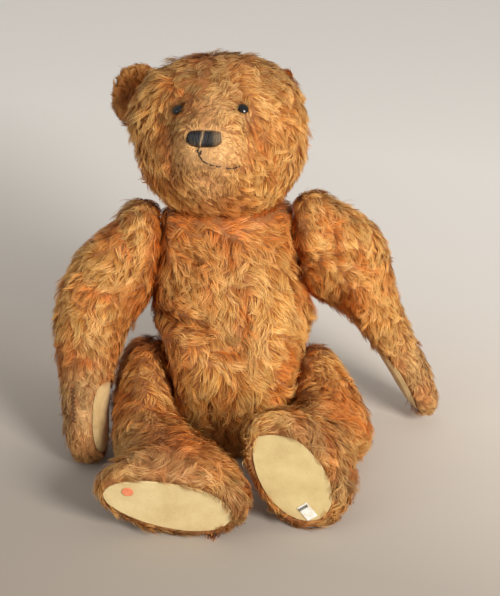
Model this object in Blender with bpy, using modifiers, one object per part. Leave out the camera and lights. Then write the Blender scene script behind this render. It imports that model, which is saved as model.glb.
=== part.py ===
"""A jointed mohair teddy bear, sitting.

Lengths in metres, +Z up, facing -Y, origin at the middle of the seat. Left and right are
the bear's own, so its right arm lies at -X.
"""

import math

import bmesh
import bpy
from mathutils import Matrix, Vector
from mathutils.bvhtree import BVHTree

MM = 0.001

# How closely things lie together
SEAT_GAP = 0.3 * MM
LAID_GAP = 0.7 * MM
JOINT_GAP = 0.6 * MM

# Torso, along a spine that leans back from the seat and a little to the right
SPINE_LEAN = math.radians(12)
SPINE_SIDE_LEAN = math.radians(2)
SPINE_LENGTH = 240 * MM
TORSO_WIDTH = 158 * MM
TORSO_DEPTH = 146 * MM
# share of the spine, share of the half width, share of the half depth, belly's push to the front in mm
TORSO_PROFILE = (
    (-0.075, 0.42, 0.44, 0),
    (0.02, 0.72, 0.74, 0),
    (0.11, 0.90, 0.91, 3),
    (0.20, 0.97, 0.99, 6),
    (0.29, 0.99, 1.03, 9),
    (0.38, 1.00, 1.04, 11),
    (0.46, 0.98, 1.00, 9),
    (0.54, 0.97, 0.94, 5),
    (0.62, 0.94, 0.90, 3),
    (0.71, 0.91, 0.89, 1),
    (0.80, 0.92, 0.85, -2),
    (0.88, 0.93, 0.79, -3),
    (0.945, 0.93, 0.75, -2),
    (1.00, 0.84, 0.62, 0),
    (1.05, 0.38, 0.39, 0),
)
# share of the spine, bearing from the front to the left in degrees, reach along and around, depth in mm
TORSO_FOLDS = (
    (0.57, -62, 0.05, 38, 7.0),
    (0.53, -12, 0.04, 34, 4.0),
    (0.49, 34, 0.04, 30, 4.5),
    (0.33, 66, 0.20, 12, 5.0),
    (0.30, -66, 0.18, 12, 4.0),
    (0.40, 0, 0.35, 7, 2.0),
    (0.80, 12, 0.10, 9, 3.0),
    (0.71, -30, 0.08, 12, 3.0),
    (0.42, -28, 0.10, 18, -4.0),
    (0.36, 26, 0.12, 20, -4.0),
    (0.67, 26, 0.09, 20, -3.0),
    (0.14, 0, 0.07, 24, 5.0),
    (0.535, 84, 0.072, 30, -11.0),
    (0.54, -86, 0.08, 24, -5.0),
)

# Head, turned and tipped on the neck
HEAD_WIDTH = 166 * MM
HEAD_HEIGHT = 164 * MM
HEAD_DEPTH = 150 * MM
MUZZLE_LENGTH = 34 * MM
MUZZLE_WIDTH = 82 * MM
MUZZLE_DROP = 11 * MM
HEAD_ABOVE_NECK = 70 * MM
HEAD_FORE_OF_NECK = 12 * MM
HEAD_SIDE = -1 * MM
HEAD_TURN = math.radians(8.5)
HEAD_TIP = math.radians(24)
JAW_TAPER = 0.10
# share of the half depth, share of the half width, share of the half height
SKULL_PROFILE = (
    (-1.00, 0.16, 0.16),
    (-0.92, 0.46, 0.45),
    (-0.70, 0.75, 0.75),
    (-0.40, 0.92, 0.92),
    (-0.08, 1.00, 1.00),
    (0.22, 0.99, 0.99),
    (0.46, 0.92, 0.92),
    (0.66, 0.79, 0.80),
)
# share of the muzzle's length, share of its half width, share of its half height
MUZZLE_PROFILE = (
    (-0.15, 1.34, 1.36),
    (0.20, 1.04, 1.06),
    (0.52, 0.80, 0.84),
    (0.80, 0.60, 0.66),
    (0.97, 0.44, 0.48),
    (1.02, 0.20, 0.22),
)
# along the head from its middle, bearing from the crown to the left in degrees, reaches, depth in mm
HEAD_FOLDS = (
    (0.52, -112, 0.16, 26, -7.0),
    (0.50, 112, 0.18, 28, -6.0),
    (0.62, 0, 0.14, 24, 3.5),
    (0.50, -42, 0.12, 18, -5.0),
    (0.50, 42, 0.12, 18, -4.0),
    (0.62, -66, 0.10, 14, 4.0),
    (0.62, 66, 0.10, 14, 4.0),
    (0.80, 180, 0.14, 22, 3.0),
    (0.30, 160, 0.14, 22, -3.0),
    (0.15, -80, 0.14, 16, 3.0),
)

# Ears, eyes and embroidery, placed on the head's own right, up and nose directions
EAR_RADIUS = 30 * MM
EAR_THICKNESS = 11 * MM
EAR_CUP = 8 * MM
EAR_CENTRE = (-HEAD_WIDTH / 2 - 1 * MM, 0.52 * HEAD_HEIGHT / 2, -8 * MM)
EAR_FACES = (-0.42, 0.12, 0.90)
# share of the radius and height over the middle, from the back round the rim into the cup
EAR_SECTION = (
    (0.30, -0.55), (0.72, -0.42), (0.95, -0.10), (1.0, 0.25), (0.88, 0.42), (0.66, 0.20), (0.30, -0.10),
)
REMNANT_LENGTH = 20 * MM
REMNANT_HEIGHT = 9 * MM
REMNANT_THICKNESS = 4 * MM
REMNANT_CENTRE = (0.76 * HEAD_WIDTH / 2, 0.68 * HEAD_HEIGHT / 2, 2 * MM)
EYE_RADIUS = 5.4 * MM
EYE_HEIGHT = 3.6 * MM
EYE_SHANK_RADIUS = 1.5 * MM
EYE_SHANK_LENGTH = 5 * MM
EYE_SPREAD = 31 * MM
EYE_RISE = 21 * MM
NOSE_WIDTH = 32 * MM
NOSE_HEIGHT = 16 * MM
NOSE_RELIEF = 2.0 * MM
NOSE_RISE = -8 * MM
NOSE_THREADS = 16
THREAD_RADIUS = 0.6 * MM
# right and up on the face, in mm, for each stitch that is left of the mouth
MOUTH_STITCHES = {
    "mouth_centre_thread": ((-4, -17), (-1, -25), (1, -30), (7, -33), (13, -35), (20, -35)),
    "mouth_left_thread": ((25, -36), (32, -36), (39, -33)),
    "mouth_right_thread": ((-20, -33), (-22, -30)),
}

# Arms, from the middle of the joint's face
SHOULDER_ALONG_SPINE = 200 * MM
SHOULDER_FACE = 66 * MM
SHOULDER_FLAT = 40 * MM
SHOULDER_DISC_RADIUS = 17 * MM
# out, forward, down, half width, half depth, squareness
RIGHT_ARM = (
    (15, -2, -47, 7, 10, 2.0),
    (16, -2, -39, 17, 25, 2.2),
    (19, -1, -23, 23, 35, 2.5),
    (26, 2, -7, 28, 38, 2.5),
    (34, 7, 9, 36, 39, 2.4),
    (47, 14, 27, 43, 38, 2.4),
    (64, 26, 52, 40, 36, 2.1),
    (71, 36, 73, 36, 34, 2.0),
    (73, 48, 95, 30, 32, 2.1),
    (75, 65, 123, 23, 29, 2.2),
    (74, 79, 150, 21, 27, 2.3),
    (72, 91, 175, 20, 25, 2.3),
    (70, 100, 192, 13, 16, 2.0),
)
LEFT_ARM = (
    (11, -3, -54, 8, 11, 2.0),
    (15, -2, -45, 19, 26, 2.2),
    (20, -2, -29, 25, 36, 2.5),
    (33, -1, -12, 38, 38, 2.4),
    (43, 0, 6, 45, 38, 2.4),
    (54, 1, 23, 47, 37, 2.4),
    (71, 2, 43, 33, 34, 2.1),
    (82, 3, 64, 24, 31, 2.1),
    (96, 4, 90, 20, 29, 2.2),
    (113, 5, 120, 17, 27, 2.3),
    (127, 7, 148, 17, 26, 2.3),
    (138, 8, 171, 13, 21, 2.3),
    (144, 9, 184, 7, 11, 2.0),
)
PAW_PAD_LENGTH = 68 * MM
PAW_PAD_BACK = 5 * MM
PAW_PAD_WIDTH = 34 * MM
# along the arm's stations, and where the pad looks
RIGHT_PAW = (10, (0.80, -0.60, 0.0))
LEFT_PAW = (10, (-0.86, -0.50, 0.0))
REPAIR_LENGTH = 32 * MM
REPAIR_WIDTH = 5 * MM
REPAIR_STITCHES = 9

# Legs, from the middle of the joint's face
HIP_HEIGHT = 58 * MM
HIP_BACK = 8 * MM
HIP_FACE = 68 * MM
HIP_FLAT = 64 * MM
HIP_DISC_RADIUS = 23 * MM
RIGHT_HIP_TURN = math.radians(12)
LEFT_HIP_TURN = math.radians(14)
# along the leg, out, up, half size towards the toe, half size across the foot, squareness
RIGHT_LEG = (
    (-54, 20, -4, 8, 18, 2.0),
    (-46, 21, -4, 17, 36, 2.2),
    (-28, 22, -5, 24, 47, 2.4),
    (-4, 24, -6, 26, 51, 2.5),
    (22, 26, -7, 28, 49, 2.4),
    (48, 34, -9, 27, 46, 2.2),
    (74, 35, -14, 28, 41, 2.1),
    (98, 31, -19, 32, 37, 2.1),
)
LEFT_LEG = (
    (-48, 15, -6, 12, 10, 2.0),
    (-41, 15, -6, 28, 18, 2.2),
    (-24, 17, -4, 40, 24, 2.4),
    (0, 20, -3, 47, 28, 2.6),
    (26, 34, -8, 45, 33, 2.6),
    (52, 47, -14, 41, 33, 2.6),
    (78, 42, -12, 38, 31, 2.1),
    (102, 34, -10, 37, 31, 2.1),
)
SOLE_LENGTH = 136 * MM
RIGHT_SOLE_WIDTH = 78 * MM
LEFT_SOLE_WIDTH = 73 * MM
TOE_TAPER = 0.10
# depth behind the sole, share of the half length, share of the half width, shift to the toe
FOOT_PROFILE = (
    (50, 0.66, 0.90, -14),
    (34, 0.88, 1.00, -6),
    (18, 1.00, 1.04, 0),
    (5, 1.00, 1.02, 0),
    (-7, 0.93, 0.93, 0),
)
RIGHT_FOOT_PAD = (121 * MM, 62 * MM)
LEFT_FOOT_PAD = (110 * MM, 60 * MM)
FELT = 2.2 * MM
FELT_EDGE = 0.5 * MM
FELT_SUNK = 1.2 * MM
# middle of the sole in mm, its outward direction, the direction of the toe and the way back to the ankle
RIGHT_SOLE = ((-60, -197, 38), (-0.121, -0.946, -0.299), (-0.975, 0.08, 0.17), (0.16, 0.946, 0.28))
LEFT_SOLE = ((54, -182, 61), (-0.05, -0.985, -0.08), (-0.47, -0.04, 0.88), (0.34, 0.94, 0.04))

# What holds a joint together
CLOTH = 2.4 * MM
DISC_THICKNESS = 3 * MM
WASHER_THICKNESS = 1.2 * MM
WASHER_RADIUS = 8 * MM
PIN_WIRE_RADIUS = 0.9 * MM
PIN_LEG_SPREAD = 1.1 * MM
PIN_HOLE_RADIUS = 2.6 * MM
PIN_EYE_RADIUS = 3.2 * MM
PIN_CURL_RADIUS = 2.6 * MM
NECK_DISC_RADIUS = 21 * MM
NECK_FLAT = 62 * MM
FLAT_REACH = 70 * MM
LIMB_FLAT_SHARE = 1.15
DISC_SIDES = 24
WASHER_SIDES = 16
EYE_CLEAR = 0.5 * MM
DROP_FROM = 130 * MM

# Small things on the soles
TAG_LENGTH = 18 * MM
TAG_WIDTH = 11 * MM
TAG_THICKNESS = 0.5 * MM
# towards the toe and across the pad, and the turn of the tag's length from the toe
TAG_PLACE = (-42 * MM, 5 * MM, math.radians(8))
DOT_RADIUS = 5.2 * MM
DOT_THICKNESS = 0.5 * MM
DOT_PLACE = (38 * MM, -10 * MM)

TORSO_SIDES = 20
HEAD_SIDES = 20
LIMB_SIDES = 14
FAR = 0.5


def cage_swell(sides):
    """How much wider a ring of the cage is than the smooth form that it makes."""
    return 3 / (2 + math.cos(2 * math.pi / sides))


def clear_scene():
    for thing in list(bpy.data.objects):
        bpy.data.objects.remove(thing, do_unlink=True)


def new_collection(name):
    made = bpy.data.collections.new(name)
    bpy.context.scene.collection.children.link(made)
    return made


def new_material(name, colour, roughness, metallic=0.0):
    made = bpy.data.materials.new(name)
    made.use_nodes = True
    shader = made.node_tree.nodes["Principled BSDF"]
    shader.inputs["Base Color"].default_value = (*colour, 1)
    shader.inputs["Roughness"].default_value = roughness
    shader.inputs["Metallic"].default_value = metallic
    return made


clear_scene()
BEAR = new_collection("teddy_bear")
CUTTERS = new_collection("cutters")
MOHAIR = new_material("mohair", (0.56, 0.29, 0.10), 0.9)
FELT_CLOTH = new_material("felt", (0.72, 0.60, 0.33), 0.95)
BLACK_THREAD = new_material("black_thread", (0.02, 0.02, 0.025), 0.6)
BOOT_BUTTON = new_material("boot_button", (0.012, 0.01, 0.01), 0.18)
HARDBOARD = new_material("hardboard", (0.34, 0.22, 0.12), 0.8)
STEEL = new_material("steel", (0.42, 0.40, 0.38), 0.4, 1.0)
TAPE = new_material("white_tape", (0.80, 0.79, 0.74), 0.85)
ORANGE = new_material("orange_sticker", (0.82, 0.33, 0.16), 0.7)


def add_object(name, data, material, collection=None):
    made = bpy.data.objects.new(name, data)
    (collection or BEAR).objects.link(made)
    if material:
        data.materials.append(material)
    return made


def as_cutter(thing):
    thing.hide_render = True
    thing.display_type = "WIRE"
    return thing


def cut(thing, cutter, operation="DIFFERENCE"):
    step = thing.modifiers.new(operation.title() + cutter.name, "BOOLEAN")
    step.operation = operation
    step.solver = "EXACT"
    step.object = cutter


def evaluated_mesh(thing):
    bpy.context.view_layer.update()
    graph = bpy.context.evaluated_depsgraph_get()
    return bpy.data.meshes.new_from_object(thing.evaluated_get(graph))


def surface_of(thing):
    """The finished surface of a thing, to lay others on."""
    mesh = evaluated_mesh(thing)
    points = [thing.matrix_world @ v.co for v in mesh.vertices]
    tree = BVHTree.FromPolygons(points, [tuple(p.vertices) for p in mesh.polygons])
    bpy.data.meshes.remove(mesh)
    return tree


def frame_along(normal, towards):
    """A rotation whose Z is the normal and whose X points as nearly as it can the second way."""
    z = Vector(normal).normalized()
    x = (Vector(towards) - z * Vector(towards).dot(z)).normalized()
    return Matrix((x, z.cross(x), z)).transposed()


def placed(point, rotation):
    return Matrix.Translation(point) @ rotation.to_4x4()


def ring(centre, long_half, short_half, squareness=2.0, taper=0.0, sides=LIMB_SIDES):
    """Points round an oval section.

    Squareness 2 is an ellipse, and taper narrows the end that long_half points to.
    """
    points = []
    for k in range(sides):
        angle = 2 * math.pi * k / sides
        c, s = math.cos(angle), math.sin(angle)
        x = math.copysign(abs(c) ** (2 / squareness), c)
        y = math.copysign(abs(s) ** (2 / squareness), s)
        points.append(centre + long_half * x + short_half * y * (1 - taper * c))
    return points


def stuffed_form(name, rings, material, levels=1):
    """A closed soft form: a cage lofted through unlike sections, under Subdivision Surface."""
    mesh = bmesh.new()
    rows = [[mesh.verts.new(p) for p in points] for points in rings]
    sides = len(rings[0])
    for row, after in zip(rows, rows[1:]):
        for k in range(sides):
            mesh.faces.new((row[k], row[(k + 1) % sides], after[(k + 1) % sides], after[k]))
    mesh.faces.new(rows[0])
    mesh.faces.new(rows[-1])
    bmesh.ops.recalc_face_normals(mesh, faces=mesh.faces)
    data = bpy.data.meshes.new(name)
    mesh.to_mesh(data)
    mesh.free()
    data.shade_smooth()
    made = add_object(name, data, material)
    smooth = made.modifiers.new("Stuffing", "SUBSURF")
    smooth.levels = levels
    smooth.render_levels = levels
    return made


def half_space(name, point, normal):
    """A large block that lies on the side of a plane that its normal points to."""
    bpy.ops.mesh.primitive_cube_add(size=2 * FAR)
    block = bpy.context.active_object
    block.name = name
    side = Vector((1, 0, 0)) if abs(Vector(normal).normalized().x) < 0.9 else Vector((0, 1, 0))
    rotation = frame_along(normal, side)
    block.matrix_world = placed(Vector(point) + Vector(normal).normalized() * FAR, rotation)
    for home in list(block.users_collection):
        home.objects.unlink(block)
    CUTTERS.objects.link(block)
    return as_cutter(block)


def turned(name, profile, sides, material, collection=None):
    """A turned solid about its own Z, from (radius, height) pairs that run from the top down."""
    data = bpy.data.meshes.new(name)
    points = [(radius, 0, height) for radius, height in profile]
    data.from_pydata(points, [(k, k + 1) for k in range(len(points) - 1)], [])
    made = add_object(name, data, material, collection)
    screw = made.modifiers.new("Turn", "SCREW")
    screw.steps = sides
    screw.render_steps = sides
    screw.use_merge_vertices = True
    screw.merge_threshold = 0.00001
    screw.use_smooth_shade = True
    return made


def pierced_disc(name, radius, hole, low, high, sides, material):
    """A flat ring between two heights, with a hole for the pin."""
    profile = [(hole, high), (radius, high), (radius, low), (hole, low), (hole, high)]
    return turned(name, profile, sides, material)


def spine_point(along):
    return SPINE_UP * along


SPINE_UP = Vector((-math.sin(SPINE_SIDE_LEAN), math.sin(SPINE_LEAN), math.cos(SPINE_LEAN))).normalized()
SPINE_FORE = SPINE_UP.cross(Vector((1, 0, 0))).normalized() * -1
SPINE_LEFT = SPINE_FORE.cross(SPINE_UP) * -1
FLOOR = half_space("floor_cutter", (0, 0, 0), (0, 0, -1))


class Joint:
    """A disc joint: where its face lies, which way it points out of the torso, and its discs' size."""

    def __init__(self, name, point, outward, disc_radius, flat_radius, limb):
        self.name = name
        self.point = Vector(point)
        self.outward = Vector(outward).normalized()
        self.disc_radius = disc_radius
        self.flat_radius = flat_radius
        self.limb = limb
        side = SPINE_FORE if abs(self.outward.z) > 0.5 else Vector((0, 0.1, 1))
        self.place = placed(self.point, frame_along(self.outward, side))


def joints():
    shoulder = spine_point(SHOULDER_ALONG_SPINE)
    hip = Vector((0, HIP_BACK, HIP_HEIGHT))
    neck = spine_point(SPINE_LENGTH)
    made = {"neck": Joint("neck", neck, SPINE_UP, NECK_DISC_RADIUS, NECK_FLAT, "head")}
    for side, sign, turn in (("right", -1, RIGHT_HIP_TURN), ("left", 1, LEFT_HIP_TURN)):
        out = Vector((sign, 0, 0))
        name = "shoulder_" + side
        face = shoulder + out * SHOULDER_FACE
        made[name] = Joint(name, face, out, SHOULDER_DISC_RADIUS, SHOULDER_FLAT, "arm")
        out = Vector((sign * math.cos(turn), -math.sin(turn), 0))
        name = "hip_" + side
        face = hip + Vector((sign * HIP_FACE, 0, 0))
        made[name] = Joint(name, face, out, HIP_DISC_RADIUS, HIP_FLAT, "leg")
    return made


JOINTS = joints()

# Heights along a joint's axis, from its face into either side
DISC_FROM = CLOTH + SEAT_GAP
DISC_TO = DISC_FROM + DISC_THICKNESS
WASHER_FROM = DISC_TO + SEAT_GAP
WASHER_TO = WASHER_FROM + WASHER_THICKNESS
CURL_LEVEL = WASHER_TO + SEAT_GAP + PIN_WIRE_RADIUS
EYE_LEVEL = CURL_LEVEL + PIN_EYE_RADIUS
POCKET_TO = EYE_LEVEL + PIN_EYE_RADIUS + PIN_WIRE_RADIUS + SEAT_GAP


def joint_cutter(name, joint, radius, sign):
    """A drum that flattens one side of a joint up to its face, with the disc's pocket and the pin's hole."""
    wide = joint.disc_radius + SEAT_GAP
    narrow = WASHER_RADIUS + SEAT_GAP
    profile = [(0, POCKET_TO), (narrow, POCKET_TO), (narrow, WASHER_FROM), (wide, WASHER_FROM)]
    profile += [(wide, DISC_FROM - SEAT_GAP), (PIN_HOLE_RADIUS, DISC_FROM - SEAT_GAP)]
    profile += [(PIN_HOLE_RADIUS, JOINT_GAP / 2), (radius, JOINT_GAP / 2)]
    profile += [(radius, -FLAT_REACH), (0, -FLAT_REACH)]
    if sign < 0:
        profile = [(out, -height) for out, height in reversed(profile)]
    made = turned(name, profile, DISC_SIDES, None, CUTTERS)
    made.matrix_world = joint.place
    return as_cutter(made)


def wire(name, points, radius, material, place=None):
    """A round wire or thread through these points, with closed ends."""
    curve = bpy.data.curves.new(name, "CURVE")
    curve.dimensions = "3D"
    curve.bevel_depth = radius
    curve.bevel_resolution = 0
    curve.use_fill_caps = True
    line = curve.splines.new("POLY")
    line.points.add(len(points) - 1)
    for k, point in enumerate(points):
        line.points[k].co = (*point, 1)
    made = add_object(name, curve, material)
    if place:
        made.matrix_world = place
    return made


def cotter_pin(joint):
    """A split pin: an eye on the limb's side, two legs, and each end curled back on the body's side."""
    curl = []
    for k in range(6):
        angle = math.radians(180 - 38 * k)
        x = PIN_LEG_SPREAD + PIN_CURL_RADIUS * (1 + math.cos(angle))
        curl.append(Vector((x, 0, -CURL_LEVEL - PIN_CURL_RADIUS * math.sin(angle))))
    eye = []
    for k in range(5):
        angle = math.radians(-50 + 35 * k)
        x = PIN_EYE_RADIUS * math.cos(angle)
        eye.append(Vector((x, 0, EYE_LEVEL + PIN_EYE_RADIUS * math.sin(angle))))
    half = list(reversed(curl)) + [Vector((PIN_LEG_SPREAD, 0, CURL_LEVEL))] + eye
    other = [Vector((-p.x, p.y, p.z)) for p in reversed(half[:-1])]
    return wire(joint.name + "_pin", half + other, PIN_WIRE_RADIUS, STEEL, joint.place)


def joint_hardware(joint):
    """The discs, washers and pin of one joint."""
    for owner, sign in (("body", -1), (joint.limb, 1)):
        low, high = sorted((sign * DISC_FROM, sign * DISC_TO))
        disc = pierced_disc(
            f"{joint.name}_{owner}_disc", joint.disc_radius, PIN_HOLE_RADIUS, low, high, DISC_SIDES, HARDBOARD
        )
        disc.matrix_world = joint.place
        low, high = sorted((sign * WASHER_FROM, sign * WASHER_TO))
        washer = pierced_disc(
            f"{joint.name}_{owner}_washer", WASHER_RADIUS, PIN_HOLE_RADIUS, low, high, WASHER_SIDES, STEEL
        )
        washer.matrix_world = joint.place
    cotter_pin(joint)


def folded(point, middle, along, around, folds):
    """A cage point pushed in towards its ring's middle by each fold, or out where its depth is negative."""
    push = 0.0
    for place, bearing, reach, reach_around, depth in folds:
        turn = (math.degrees(around) - bearing + 180) % 360 - 180
        push += depth * MM * math.exp(-(((along - place) / reach) ** 2) - (turn / reach_around) ** 2)
    return point + (middle - point).normalized() * push


def make_torso():
    swell = cage_swell(TORSO_SIDES)
    rings = []
    for along, width, depth, fore in TORSO_PROFILE:
        centre = spine_point(along * SPINE_LENGTH) + SPINE_FORE * (fore * MM)
        side = SPINE_LEFT * (width * swell * TORSO_WIDTH / 2)
        front = SPINE_FORE * (depth * swell * TORSO_DEPTH / 2)
        points = ring(centre, front, side, 2.15, 0.0, TORSO_SIDES)
        steps = [2 * math.pi * k / TORSO_SIDES for k in range(TORSO_SIDES)]
        rings.append([folded(p, centre, along, a, TORSO_FOLDS) for p, a in zip(points, steps)])
    torso = stuffed_form("torso", rings, MOHAIR)
    cut(torso, FLOOR)
    for joint in JOINTS.values():
        cut(torso, joint_cutter(joint.name + "_body_side", joint, joint.flat_radius, -1))
    return torso


def fit_to_joint(limb, joint):
    """Flattens a limb against its joint's face and hollows its pocket."""
    cut(limb, joint_cutter(joint.name + "_limb_side", joint, joint.flat_radius * LIMB_FLAT_SHARE, 1))


def seat_on(thing, base):
    """Cuts a thing to the shape of what it is sewn on, a seat gap clear of it."""
    grown = bpy.data.objects.new(base.name + "_around_" + thing.name, base.data)
    CUTTERS.objects.link(grown)
    grown.matrix_world = base.matrix_world
    smooth = grown.modifiers.new("Stuffing", "SUBSURF")
    smooth.levels = 1
    smooth.render_levels = 1
    push = grown.modifiers.new("Clear", "DISPLACE")
    push.strength = SEAT_GAP
    push.mid_level = 0
    cut(thing, as_cutter(grown))


def head_frame():
    """The head's own rotation: X to its left, Y to its crown and Z to its nose."""
    nose = Matrix.Rotation(-HEAD_TURN, 3, "Z") @ Matrix.Rotation(-HEAD_TIP, 3, "X") @ Vector((0, -1, 0))
    return frame_along(nose, (1, 0, 0))


HEAD_CENTRE = (
    spine_point(SPINE_LENGTH + HEAD_ABOVE_NECK) + SPINE_FORE * HEAD_FORE_OF_NECK + Vector((HEAD_SIDE, 0, 0))
)
HEAD_ROTATION = head_frame()
HEAD_PLACE = placed(HEAD_CENTRE, HEAD_ROTATION)


def make_head():
    swell = cage_swell(HEAD_SIDES)
    left, up, fore = HEAD_ROTATION.col
    steps = [2 * math.pi * k / HEAD_SIDES for k in range(HEAD_SIDES)]
    rings = []
    for along, width, height in SKULL_PROFILE:
        centre = HEAD_CENTRE + fore * (along * HEAD_DEPTH / 2)
        half_width, half_height = width * swell * HEAD_WIDTH / 2, height * swell * HEAD_HEIGHT / 2
        points = ring(centre, up * half_height, left * half_width, 2.25, -JAW_TAPER, HEAD_SIDES)
        rings.append([folded(p, centre, along, a, HEAD_FOLDS) for p, a in zip(points, steps)])
    for along, width, height in MUZZLE_PROFILE:
        centre = HEAD_CENTRE + fore * (HEAD_DEPTH / 2 + (along - 0.25) * MUZZLE_LENGTH) - up * MUZZLE_DROP
        half = swell * MUZZLE_WIDTH / 2
        rings.append(ring(centre, up * (height * half * 0.9), left * (width * half), 2.1, 0.0, HEAD_SIDES))
    return stuffed_form("head", rings, MOHAIR)


def limb_point(joint, out, fore, down):
    """A point given from the joint's face: out from the body, forward and down."""
    return joint.point + Vector((math.copysign(out, joint.outward.x), -fore, -down)) * MM


def make_arm(side, stations):
    joint = JOINTS["shoulder_" + side]
    swell = cage_swell(LIMB_SIDES)
    centres = [limb_point(joint, out, fore, down) for out, fore, down, *_ in stations]
    rings = []
    for k, (_, _, _, half_width, half_depth, squareness) in enumerate(stations):
        after, before = centres[min(k + 1, len(centres) - 1)], centres[max(k - 1, 0)]
        frame = frame_along(before - after, (1, 0, 0))
        across = frame.col[0] * (half_width * MM * swell)
        front = frame.col[1] * (half_depth * MM * swell)
        rings.append(ring(centres[k], across, front, squareness))
    arm = stuffed_form("arm_" + side, rings, MOHAIR)
    fit_to_joint(arm, joint)
    return arm, centres


def make_leg(side, stations, sole, sole_width):
    joint = JOINTS["hip_" + side]
    swell = cage_swell(LIMB_SIDES)
    out = joint.outward
    along = Vector((0, 0, 1)).cross(out) * math.copysign(1, -out.x)
    if along.y > 0:
        along = -along
    middle, normal = Vector(sole[0]) * MM, Vector(sole[1]).normalized()
    toe, back = Vector(sole[2]), Vector(sole[3])
    sole_frame = frame_along(normal, toe)
    rings = []
    for q, away, up, half_toe, half_side, squareness in stations:
        centre = joint.point + (along * q + out * away + Vector((0, 0, up))) * MM
        frame = frame_along(along, toe)
        toe_half, side_half = frame.col[0] * (half_toe * MM * swell), frame.col[1] * (half_side * MM * swell)
        rings.append(ring(centre, toe_half, side_half, squareness))
    for depth, length, width, shift in FOOT_PROFILE:
        toe_way, side_way = sole_frame.col[0], sole_frame.col[1]
        centre = middle + back * (depth * MM) + toe_way * (shift * MM)
        long_half = toe_way * (length * swell * SOLE_LENGTH / 2)
        short_half = side_way * (width * swell * sole_width / 2)
        rings.append(ring(centre, long_half, short_half, 2.2, TOE_TAPER))
    leg = stuffed_form("leg_" + side, rings, MOHAIR)
    fit_to_joint(leg, joint)
    cut(leg, FLOOR)
    cut(leg, half_space(leg.name + "_sole_face", middle, normal))
    return leg, placed(middle, sole_frame)


def oval(length, width, taper=0.0, count=32, roundness=1.0):
    """Points round an oval, narrower at +X where it has a taper and squarer below a roundness of 1."""
    points = []
    for k in range(count):
        angle = 2 * math.pi * k / count
        c, s = math.cos(angle), math.sin(angle)
        x = math.copysign(abs(c) ** roundness, c) * length / 2
        y = math.copysign(abs(s) ** roundness, s) * width / 2
        points.append((x, y * (1 - taper * c)))
    return points


def flat_cloth(name, outline, thickness, place, material, bottom=0.0):
    """A flat piece of cloth whose underside lies at a height over its own XY plane."""
    mesh = bmesh.new()
    low = [mesh.verts.new((x, y, bottom)) for x, y in outline]
    high = [mesh.verts.new((x, y, bottom + thickness)) for x, y in outline]
    for k in range(len(outline)):
        after = (k + 1) % len(outline)
        mesh.faces.new((low[k], low[after], high[after], high[k]))
    mesh.faces.new(low)
    mesh.faces.new(high)
    bmesh.ops.recalc_face_normals(mesh, faces=mesh.faces)
    data = bpy.data.meshes.new(name)
    mesh.to_mesh(data)
    mesh.free()
    made = add_object(name, data, material)
    made.matrix_world = place
    return made


def soften_edge(thing, width):
    step = thing.modifiers.new("Edge", "BEVEL")
    step.width = width
    step.segments = 1
    step.limit_method = "ANGLE"
    step.angle_limit = math.radians(50)


def foot_pad(side, leg, place, size):
    """A felt sole let into the end of a leg."""
    outline = oval(*size, TOE_TAPER)
    pad = flat_cloth("foot_pad_" + side, outline, FELT, place, FELT_CLOTH, -FELT_SUNK)
    soften_edge(pad, FELT_EDGE)
    hole = oval(size[0] + 2 * SEAT_GAP, size[1] + 2 * SEAT_GAP, TOE_TAPER)
    bed = flat_cloth(pad.name + "_bed", hole, 2 * FELT, place, None, -FELT_SUNK - SEAT_GAP)
    BEAR.objects.unlink(bed)
    CUTTERS.objects.link(bed)
    cut(leg, as_cutter(bed))
    return pad


def drop_on(surface, place, x, y):
    """Where a line down on a point of a plane first meets a surface, on that plane's own axes."""
    start = place @ Vector((x, y, DROP_FROM))
    down = (place.to_3x3() @ Vector((0, 0, -1))).normalized()
    spot, facing = surface.ray_cast(start, down)[:2]
    return place.inverted() @ spot, facing


def laid_cloth(name, surface, place, outline, thickness, material, rings=4, relief=None):
    """A cloth piece laid just clear of a surface, its outline given on a plane over it."""
    count = len(outline)
    steps = [(0.0, 0.0)] + [(x * r / rings, y * r / rings) for r in range(1, rings + 1) for x, y in outline]
    mesh = bmesh.new()
    low, high = [], []
    for k, (x, y) in enumerate(steps):
        height = drop_on(surface, place, x, y)[0].z + LAID_GAP
        edge = 0.45 if k > (rings - 1) * count else 1.0
        lift = thickness * edge * (relief(x, y) if relief else 1.0)
        low.append(mesh.verts.new((x, y, height)))
        high.append(mesh.verts.new((x, y, height + lift)))
    for rows in (low, high):
        for k in range(count):
            after = (k + 1) % count
            mesh.faces.new((rows[0], rows[1 + k], rows[1 + after]))
            for r in range(1, rings):
                a, b = 1 + (r - 1) * count, 1 + r * count
                mesh.faces.new((rows[a + k], rows[b + k], rows[b + after], rows[a + after]))
    last = 1 + (rings - 1) * count
    for k in range(count):
        after = (k + 1) % count
        mesh.faces.new((low[last + k], low[last + after], high[last + after], high[last + k]))
    bmesh.ops.recalc_face_normals(mesh, faces=mesh.faces)
    data = bpy.data.meshes.new(name)
    mesh.to_mesh(data)
    mesh.free()
    made = add_object(name, data, material)
    made.matrix_world = place
    return made


def laid_thread(name, surface, place, path, radius, material, pieces=4):
    """A thread laid over a surface along a path that is given on a plane over it."""
    points = []
    for (x0, y0), (x1, y1) in zip(path, path[1:]):
        for k in range(pieces):
            t = k / pieces
            points.append((x0 + (x1 - x0) * t, y0 + (y1 - y0) * t))
    points.append(path[-1])
    lifted = []
    for x, y in points:
        over = drop_on(surface, place, x, y)[0]
        lifted.append(Vector((x, y, over.z + SEAT_GAP + radius * 1.2)))
    return wire(name, lifted, radius, material, place)


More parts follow.
